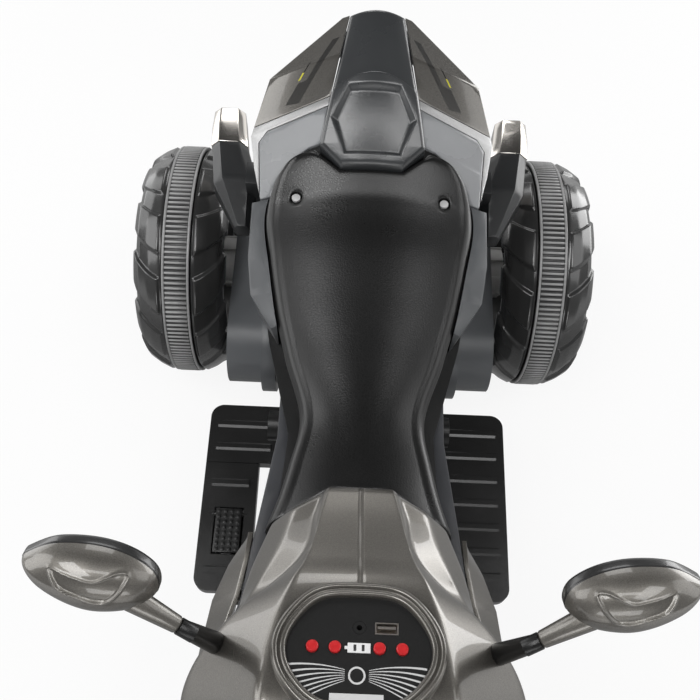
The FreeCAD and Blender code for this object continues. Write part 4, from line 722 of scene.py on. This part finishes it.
def make_spine():
    """Arched height that falls ever faster to the front, with a raised collar and a bevelled hollow."""
    tail_half, foot_half, tip_half = 0.025, 0.0465, 0.027
    tail_rise, fall, bend, bend_start = 0.129, 0.2314, 2.8, 0.010
    tail_arch, arch_loss, arch_run = 0.009, 0.005, 0.06
    collar_rise, collar_start, collar_curve, collar_step = 0.004, 0.006, 9.0, 0.002
    hollow_depth, hollow_slope, hollow_bevel = 0.0045, 0.05, 0.006
    edge_round, skirt = 0.004, 0.022
    station, share = spine_grid()
    widening = np.minimum((station - spine_rear) / (spine_slant - spine_rear), 1.0)
    half = tail_half + widening * (foot_half - tail_half)
    narrowing = np.clip((station - spine_slant) / (spine_front - spine_slant), 0.0, 1.0)
    half = half + narrowing * (tip_half - half)
    x = share * half
    bent = np.clip(station - bend_start, 0.0, None)
    edge = deck + tail_rise - (station - spine_rear) * fall - bend * bent ** 2
    arch = tail_arch - arch_loss * np.clip(bent / arch_run, 0.0, 1.0)
    collar_way = (station - collar_start - x ** 2 * collar_curve) / collar_step
    collar = collar_rise * np.clip(collar_way, 0.0, 1.0)
    inward = np.clip(-hexagon_distance(*np.broadcast_arrays(x, station)) / hollow_bevel, 0.0, 1.0)
    floor = hollow_depth + hollow_slope * np.clip(station - hollow_rear, 0.0, None)
    hollow = floor * inward ** 2 * (3 - 2 * inward)
    gap = np.minimum((1.0 - np.abs(share)) * half, np.minimum(station - spine_rear, spine_front - station))
    z = edge + arch * (1.0 - share ** 2) + collar - hollow - quarter_drop(gap, edge_round)
    top = np.stack(np.broadcast_arrays(x, rear_y - station, z), axis=-1)
    points = np.concatenate([top[:, :1], top, top[:, -1:]], axis=1)
    under = points.copy()
    under[..., 2] = edge - skirt
    points[:, [0, -1]] = under[:, [0, -1]]
    grid_object("tail_centre_skin", np.concatenate([under[:1], points, under[-1:]]), "spine", "bike",
                "tail_centre", closed=around, slot="seat_black")


# Tank

tank_wall = 0.0025

# Share of the length, the crest's height, then six corners down the side as shares of half width and height
tank_rows = (
    (0.00, 0.43, (0.18, 0.42), (0.20, 0.405), (0.22, 0.37), (0.36, 0.32), (0.48, 0.235), (0.51, 0.01)),
    (0.16, 0.54, (0.23, 0.525), (0.25, 0.505), (0.275, 0.455), (0.42, 0.40), (0.545, 0.27), (0.585, 0.01)),
    (0.38, 0.72, (0.295, 0.695), (0.32, 0.67), (0.35, 0.595), (0.52, 0.50), (0.645, 0.345), (0.69, -0.015)),
    (0.475, 0.80, (0.36, 0.765), (0.47, 0.64), (0.50, 0.55), (0.60, 0.475), (0.68, 0.345), (0.715, -0.02)),
    (0.565, 0.84, (0.405, 0.805), (0.65, 0.605), (0.665, 0.515), (0.69, 0.45), (0.71, 0.34), (0.74, -0.03)),
    (0.67, 0.875, (0.445, 0.835), (0.80, 0.565), (0.80, 0.47), (0.785, 0.41), (0.775, 0.32), (0.79, -0.035)),
    (0.79, 0.91, (0.48, 0.87), (0.915, 0.50), (0.915, 0.42), (0.89, 0.36), (0.865, 0.28), (0.85, -0.035)),
    (0.91, 0.945, (0.50, 0.90), (0.965, 0.425), (0.96, 0.35), (0.94, 0.30), (0.91, 0.23), (0.89, -0.035)),
    (1.00, 0.97, (0.48, 0.905), (0.95, 0.35), (0.945, 0.285), (0.93, 0.245), (0.91, 0.19), (0.90, -0.035)))
corner_steps = (34, 26, 10, 14, 14, 26)


def outside_ring(centres):
    """Faces outside the dash ring's middle line in plan, by the largest of eight edge distances."""
    away = np.abs(centres[:, 0])
    local = (centres[:, 1] - dash_centre[1]) / math.cos(dash_tilt)
    sides = [away - ring_half]
    for reach, end in ((local, ring_rear), (-local, ring_front)):
        sides.append(reach - end)
        sides.append(line_distance(away, reach, (ring_half, end * ring_upright), (ring_flat, end)))
    return np.max(sides, axis=0) > 0.0


def tank_lines(along):
    """Half section at each station: a rounded line through seven points that run smoothly along the tank."""
    stations = np.array([tank_rear + row[0] * tank_length for row in tank_rows])
    sections = np.array([[(0.0, row[1])] + list(row[2:]) for row in tank_rows])
    sections = sections * np.array([tank_half, tank_rise]) + np.array([0.0, deck])
    last = len(corner_steps)
    corners = np.stack([smooth_curve(stations, sections[:, k], along) for k in range(last + 1)], axis=1)
    steps = np.concatenate([k + np.arange(count) / count for k, count in enumerate(corner_steps)] + [[last]])
    cell = np.clip(steps.astype(int), 0, last - 1)
    mix = (steps - cell)[None, :, None]
    line = corners[:, cell] * (1 - mix) + corners[:, cell + 1] * mix
    line = rounded(line.transpose(1, 0, 2), 2).transpose(1, 0, 2)
    line[:, 0, 0] = 0.0
    return line[..., 0], line[..., 1]


def make_tank():
    """The half sections for each side of the seam, with a rolled rear edge and a groove along the seam."""
    end_gap, seat_gap = 0.0005, 0.0008
    roll_length, roll_depth = 0.006, 0.005
    seam_depth, seam_width = 0.0012, 0.0012
    hem_rise, front_drop = 0.002, 0.06
    along = np.linspace(tank_rear + end_gap, tank_rear + tank_length - end_gap, 151)
    across, height = tank_lines(along)
    nose = nose_line(across) + seat_gap
    station = np.maximum(along[:, None], nose)
    ahead = np.clip((station - nose) / roll_length, 0.0, 1.0)
    roll = roll_depth * (1.0 - np.sqrt(1.0 - (1.0 - ahead) ** 2))
    height = height - roll - seam_depth * np.exp(-(across / seam_width) ** 2)
    for name, side in (("tank_left", -1), ("tank_right", 1)):
        points = np.stack([side * across, rear_y - station, height], axis=-1)
        hem = points[:1].copy()
        hem[..., 2] = np.minimum(hem[..., 2], deck + hem_rise)
        front = points[-1:].copy()
        front[..., 0] = 0.0
        front[..., 2] = np.minimum(front[..., 2], points[-1, -1, 2] + front_drop)
        skin = grid_object(name + "_skin", np.concatenate([hem, points, front]), "gunmetal", "bike", name,
                           keep=outside_ring)
        add_wall(skin, tank_wall)
        shade_by_angle(skin)


# Dash ring

def make_dash_ring():
    """Two rounded beads with a groove between them, swept along a softened octagon in the dash plane."""
    side = np.array([(ring_flat, ring_rear), (ring_half, ring_rear * ring_upright),
                     (ring_half, -ring_front * ring_upright), (ring_flat, -ring_front)])
    loop = np.concatenate([side, side[::-1] * np.array([-1.0, 1.0]), side[:1]])
    count, softness, lap = 480, 24, 60
    line = rounded_loop(even_steps(loop, count + 1)[0][:-1], softness, lap)
    ahead = np.roll(line, -1, axis=0) - np.roll(line, 1, axis=0)
    outward = np.stack([-ahead[:, 1], ahead[:, 0]], axis=-1) / np.linalg.norm(ahead, axis=1, keepdims=True)
    outward *= np.sign(np.sum(outward * line))
    offset = np.array([5.6, 5.6, 5.2, 4.3, 3.2, 2.1, 1.4, 1.0, 0.6, 0.1, -0.8, -2.0, -3.0, -3.7, -4.0, -4.0])
    height = np.array([-9.0, -0.6, 1.2, 2.3, 2.7, 2.3, 1.2, 0.0, 0.0, 1.0, 1.9, 2.2, 1.8, 0.8, -0.8, -6.0])
    plan = line[None] + outward[None] * offset[:, None, None] / 1000
    lift = height[:, None] / 1000
    y = dash_centre[1] + plan[..., 1] * math.cos(dash_tilt) + lift * math.sin(dash_tilt)
    z = dash_centre[2] - plan[..., 1] * math.sin(dash_tilt) + lift * math.cos(dash_tilt)
    grid_object("dash_ring_skin", np.stack([plan[..., 0], y, z], axis=-1), "gunmetal", "bike", "dash_ring",
                closed=around)


# Wheels

wheels = (("front", (0.0, -rear_y), "front_wheel"),
          ("rear_left", (-wheel_x, rear_y), "rear_left_wheel"),
          ("rear_right", (wheel_x, rear_y), "rear_right_wheel"))
pad_count, pad_steps, pad_height = 12, 60, 0.003
rib_count, rib_depth = 150, 0.0023

# Half profile in metres across and from the axle: bead, wall, shoulder, tread edge and groove
tyre_corners = np.array([
    (0.041, 0.0862), (0.0475, 0.099), (0.0480, 0.108), (0.0425, 0.1175), (0.0305, 0.1255), (0.0178, 0.1312),
    (0.0153, 0.1312), (0.0152, 0.1272)])
wall_corner, shoulder_corner, tread_corner = 1, 2, 5


def turned(x, radius, angle, place):
    """Points of a profile (x, radius) turned about the axle through the angles."""
    y, z = place[1] + radius * np.sin(angle), axle_z + radius * np.cos(angle)
    return np.stack(np.broadcast_arrays(place[0] + x, y, z), axis=-1)


def tyre_profile():
    """Rounded half profile, its normals, each point's way down the shoulder, and where pads may be."""
    count, tread_gap = 64, 0.0008
    line, steps, reach = even_steps(tyre_corners, count)
    shoulder, tread = reach[shoulder_corner], reach[tread_corner]
    share = 1.0 - np.clip((steps - shoulder) / (tread - shoulder), 0.0, 1.0)
    inside = (steps > reach[wall_corner]) & (steps < tread - tread_gap)
    line = rounded(line, 2)
    slope = np.gradient(line, axis=0)
    normal = np.stack([-slope[:, 1], slope[:, 0]], axis=-1) / np.linalg.norm(slope, axis=1, keepdims=True)
    return line, normal * np.sign(normal[count // 2, 1]), share, inside


def make_tyres():
    """Profile turned round the axle; swept pads on both sides lift the shoulder between curved edges."""
    pad_end, rise_run, fall_run, end_run = 0.66, 0.06, 0.05, 0.05
    sweep_slope, sweep_bend = 0.18, 0.28
    line, normal, share, inside = tyre_profile()
    angle = circle_angles(pad_count * pad_steps)[None, :]
    sweep = sweep_slope * share[:, None] + sweep_bend * share[:, None] ** 2
    swept = np.mod(angle * pad_count / (2 * math.pi) - sweep, 1.0)
    rise = np.clip(swept / rise_run, 0.0, 1.0)
    fall = np.clip((pad_end - swept) / fall_run, 0.0, 1.0)
    ends = np.clip(share / end_run, 0.0, 1.0) * inside
    lifted = line[:, None] + normal[:, None] * (pad_height * rise * fall * ends[:, None])[..., None]
    for name, place, body in wheels:
        near, far = (turned(side * lifted[..., 0], lifted[..., 1], angle, place) for side in (1, -1))
        grid_object(name + "_tyre_skin", np.concatenate([near, far[::-1]]), "tyre_black", body,
                    name + "_tyre", closed=both_ways)


def make_bands():
    """Ribbed band: flat-topped ribs across the middle, plain rounded borders, turned round the axle."""
    valley = np.array([0.12, 0.0, 0.0, 0.12, 1.0, 1.0, 1.0, 1.0])
    valley = np.tile(valley, rib_count)[None, :]
    angle = circle_angles(valley.size)[None, :]
    half = np.array([(-15.0, 127.0, 0.0), (-15.0, 133.6, 0.0), (-14.4, 134.4, 0.0), (-12.4, 134.4, 0.0),
                     (-11.6, 133.4, 0.35), (-11.2, 134.8, 1.0)])
    x, base, ribbed = np.concatenate([half, half[::-1] * np.array([-1.0, 1.0, 1.0])]).T[..., None]
    radius = base / 1000 - rib_depth * ribbed * valley
    for name, place, body in wheels:
        grid_object(name + "_band_skin", turned(x / 1000, radius, angle, place), "band", body,
                    name + "_tread_band", closed=both_ways)


# Mirrors

mirror_root = np.array([tank_half, rear_y - 0.460, deck + 1.04 * tank_rise])
mirror_rise, mirror_lean, mirror_sweep = (math.radians(angle) for angle in (8.0, 36.0, 9.0))
stub_dip, stub_yaw = math.radians(25.0), math.radians(24.0)
stub_along, stub_up, stub_depth = 0.17 * head_length, -0.22 * head_height, 0.01235

# Outlines in shares of the head's length and height
mirror_outline = np.array([
    (0.0, 0.0), (0.06, 0.24), (0.25, 0.42), (0.5, 0.46), (0.78, 0.34), (0.96, 0.1), (1.0, -0.04),
    (0.9, -0.26), (0.66, -0.45), (0.4, -0.5), (0.15, -0.36), (0.03, -0.16)])
recess_outline = np.array([
    (0.754, 0.213), (0.592, 0.213), (0.445, 0.215), (0.357, 0.28), (0.275, 0.333), (0.206, 0.283),
    (0.285, 0.0), (0.382, -0.09), (0.531, -0.05), (0.664, 0.005), (0.755, 0.163)])


def mirror_axes():
    """Unit vectors outwards, up and forwards of the right mirror head."""
    level = math.cos(mirror_rise)
    out = np.array([level * math.cos(mirror_sweep), math.sin(mirror_sweep), math.sin(mirror_rise)])
    out /= np.linalg.norm(out)
    forward = np.array([0.0, -math.cos(mirror_lean), math.sin(mirror_lean)])
    forward -= out * forward.dot(out)
    forward /= np.linalg.norm(forward)
    up = np.cross(forward, out)
    return out, up * np.sign(up[2]), forward


def mirror_head(flat, depth):
    """Points of the right mirror from places along and up its head, and depths forwards."""
    out, up, forward = mirror_axes()
    return mirror_root + flat[..., :1] * out + flat[..., 1:] * up + depth[..., None] * forward


def leaf(corners, count):
    """Closed smooth curve through points given in shares of the head's length and height."""
    lap = 3
    wrapped = np.concatenate([corners[-lap:], corners, corners[:lap]])
    knots = np.arange(-lap, len(corners) + lap)
    at = np.linspace(0.0, len(corners), count + 1)[:-1]
    return smooth_curve(knots, wrapped, at) * np.array([head_length, head_height])


def recess(u, v):
    """Height change on the dome: a raised line along a closed curve and a shallow hollow inside it."""
    line_height, line_width, hollow_depth = 0.0009, 0.0007, 0.0016
    curve = leaf(recess_outline, 240)
    near = np.full(u.shape, 1.0)
    crossings = np.zeros(u.shape, dtype=int)
    for (u0, v0), (u1, v1) in zip(curve, np.roll(curve, -1, axis=0)):
        near = np.minimum(near, np.hypot(u - u0, v - v0))
        if v0 != v1:
            crossings += ((v0 > v) != (v1 > v)) & (u < u0 + (v - v0) * (u1 - u0) / (v1 - v0))
    inside = crossings % 2 == 1
    ridge = line_height * np.exp(-(near / line_width) ** 2)
    return ridge - inside * hollow_depth * np.clip(near / hollow_depth, 0.0, 1.0)


def stub_points():
    """Round stub that narrows from the right dome to its bevelled end, then the pivot pin."""
    out, up, forward = mirror_axes()
    level = math.cos(stub_dip)
    along = -np.array([level * math.cos(stub_yaw), level * math.sin(stub_yaw), math.sin(stub_dip)])
    start = mirror_root + stub_along * out + stub_up * up + stub_depth * forward
    side = np.cross(along, np.array([0.0, 1.0, 0.0]))
    side /= np.linalg.norm(side)
    other = np.cross(along, side)
    reach = np.array([0.0, 4.0, 32.5, 34.0, 34.0, 41.5, 42.0, 42.0])[:, None, None] / 1000
    radius = np.array([8.0, 7.7, 5.6, 4.7, 3.0, 3.0, 2.6, 0.0])[:, None, None] / 1000
    angle = circle_angles(48)[:, None]
    return start + reach * along + radius * (side * np.cos(angle) + other * np.sin(angle))


def make_mirrors():
    """Leaf outline shrunk by a quarter-oval law into a dome with a recess, a dark bezel and a stub."""
    centre = np.array([0.042, 0.0])
    dome_start, dome_depth = 0.005, 0.0245
    spread = leaf(mirror_outline, 264) - centre
    turn = np.linspace(0.0, math.pi / 2, 121)
    shrink = np.cos(turn) ** (2 / 2.1)
    shrink[-1] = 0.0
    flat = centre + spread * shrink[:, None, None]
    depth = dome_start + dome_depth * np.sin(turn)[:, None] ** (2 / 2.3) + recess(flat[..., 0], flat[..., 1])
    bezel_scale = np.array([0.915, 0.93, 0.985, 1.0, 1.005, 1.005, 1.004, 0.99])[:, None, None]
    bezel_depth = np.array([2.2, 0.0, -0.2, 0.6, 2.0, 5.5, 7.8, 8.3])[:, None] / 1000
    dome = mirror_head(flat, depth)
    bezel = mirror_head(centre + spread * bezel_scale, bezel_depth)
    stub = stub_points()
    for name, side in (("left", -1), ("right", 1)):
        body, mirrored = "mirror_" + name, np.array([side, 1.0, 1.0])
        grid_object("mirror_dome_" + name, dome * mirrored, "mirror_gunmetal", body, "mirror_shell_" + name,
                    closed=around, slot="gunmetal")
        grid_object("mirror_bezel_" + name, bezel * mirrored, "bezel", body, closed=around, slot="black")
        grid_object("mirror_stub_" + name, stub * mirrored, "mirror_gunmetal", body, closed=around,
                    slot="gunmetal")


# Nose cowl

cowl_half, cowl_rise, cowl_low = 0.092, 0.146, deck - 0.006
cowl_rear, cowl_length, cowl_wall = 0.646, 0.150, 0.0028

# Shares of the length, the half width, and the underside's and the top's heights, from the rear
cowl_rows = np.array([(0.0, 1.0, 0.0, 1.0), (0.36, 0.91, -0.01, 0.85), (0.73, 0.67, 0.02, 0.58),
                      (1.0, 0.40, 0.06, 0.38)])


def make_cowl():
    """Six-sided section with rounded corners, smooth along its length, and a flat ring round the lamp."""
    ring_share, ring_depth, side_steps = 0.72, 0.007, 24
    along = np.linspace(0.0, 1.0, 61)
    half, low, high = smooth_curve(cowl_rows[:, 0], cowl_rows[:, 1:], along).T[..., None]
    corner = np.array([(0.55, 1.0), (1.0, 0.45), (0.8, 0.0)])
    loop = np.concatenate([corner, corner[::-1] * np.array([-1.0, 1.0])])
    mix = (np.arange(side_steps) / side_steps)[:, None]
    sides = zip(loop, np.roll(loop, -1, axis=0))
    line = np.concatenate([first * (1 - mix) + second * mix for first, second in sides])
    line = rounded_loop(line, 4, side_steps)
    x = half * cowl_half * line[:, 0]
    z = cowl_low + (low + (high - low) * line[:, 1]) * cowl_rise
    y = np.broadcast_to((rear_y - cowl_rear - along * cowl_length)[:, None], x.shape)
    points = np.stack([x, y, z], axis=-1)
    middle = np.array([0.0, points[-1, 0, 1], z[-1].mean()])
    brow = middle + (points[-1:] - middle) * np.array([ring_share, 1.0, ring_share])
    inner = brow + np.array([0.0, ring_depth, 0.0])
    skin = grid_object("nose_cowl_skin", np.concatenate([points, brow, inner]), "gunmetal",
                       "steering_assembly", "nose_cowl", closed=around)
    add_wall(skin, cowl_wall)


# Stage

floor_half = 6.0
lamp_target = Vector((0.0, 0.05, 0.35))

# Name, place, power, and width and height of each area lamp
lamps = (
    ("key", (-1.5, 0.25, 1.1), 9.0, (1.0, 1.0)), ("fill", (1.5, 0.25, 1.1), 5.0, (1.0, 1.0)),
    ("front", (0.1, -1.9, 0.85), 8.0, (1.4, 0.5)), ("back", (-0.1, 2.1, 1.3), 7.0, (1.0, 0.7)),
    ("low_left", (-1.3, 1.0, 0.35), 3.4, (0.9, 0.7)), ("low_right", (1.3, 1.0, 0.35), 8.5, (0.9, 0.7)),
    ("top_left", (-0.75, -0.25, 2.2), 17.2, (1.4, 0.5)), ("top_right", (0.75, -0.25, 2.2), 10.5, (1.4, 0.5)),
    ("top_middle", (0.0, -0.29, 2.2), 3.8, (1.0, 0.26)))


def make_floor():
    """Pale floor: near white to the camera, and in reflections a glow with painted shade, dim near the bike
    and white far from it.
    """
    near, far = 0.6, 1.5
    mesh = bpy.data.meshes.new("floor")
    corners = [(x * floor_half, y * floor_half, 0) for x, y in ((-1, -1), (1, -1), (1, 1), (-1, 1))]
    mesh.from_pydata(corners, [], [(0, 1, 2, 3)])
    floor = placed("floor", mesh)
    paint = Paint("floor_pale", Base_Color=grey(0.86), Roughness=0.9)
    away = paint.ramp(distance(*paint.axes("XY")), near, far)
    straight = paint.add("ShaderNodeLightPath", {}, {}, "Is Camera Ray")
    mirrored = paint.add("ShaderNodeLightPath", {}, {}, "Is Glossy Ray")
    # Painted shade: the glow seen in reflections is dimmed near the bike to stand in for the shade under it
    colour = paint.between(straight + away, grey(0.3), grey(1.0))
    glow = paint.add("ShaderNodeEmission", {}, {"Color": colour})
    values = {0: straight * 0.88 + mirrored, 1: paint.surface, 2: glow}
    paint.plug(paint.add("ShaderNodeMixShader", {}, values), "Material Output")
    mesh.materials.append(paint.material)


def make_room():
    """World that is white to the camera, and otherwise dark overhead and brightest low on the walls."""
    world = bpy.data.worlds.new("studio")
    bpy.context.scene.world = world
    world.use_nodes = True
    board = Board(world.node_tree)
    place = board.add("ShaderNodeTexCoord", {}, {}, "Generated")
    height = board.add("ShaderNodeSeparateXYZ", {}, {0: place}, 2)
    stops = ((0.0, grey(0.15)), (0.32, grey(0.34)), (0.68, grey(0.04)))
    shade = board.add("ShaderNodeValToRGB", {"stops": stops}, {0: height})
    straight = board.add("ShaderNodeLightPath", {}, {}, "Is Camera Ray")
    board.plug(board.between(straight, shade, grey(1.0)), "Background")


def make_lamps():
    """Soft area lamps round the bike and above it, all turned to its middle."""
    for name, place, power, size in lamps:
        lamp = bpy.data.lights.new(name, "AREA")
        lamp.shape = "RECTANGLE"
        lamp.energy = power
        lamp.size, lamp.size_y = size
        light = placed(name, lamp)
        light.location = place
        aim = lamp_target - Vector(place)
        light.rotation_euler = aim.to_track_quat("-Z", "Y").to_euler()


make_camera()
finishes = make_finishes()
smooth_group = angle_group()
dress_nodes()
make_seat()
make_seat_wells()
make_spine()
make_tank()
make_dash_ring()
make_tyres()
make_bands()
make_mirrors()
make_cowl()
make_floor()
make_room()
make_lamps()
bpy.context.scene.view_settings.view_transform = "Standard"
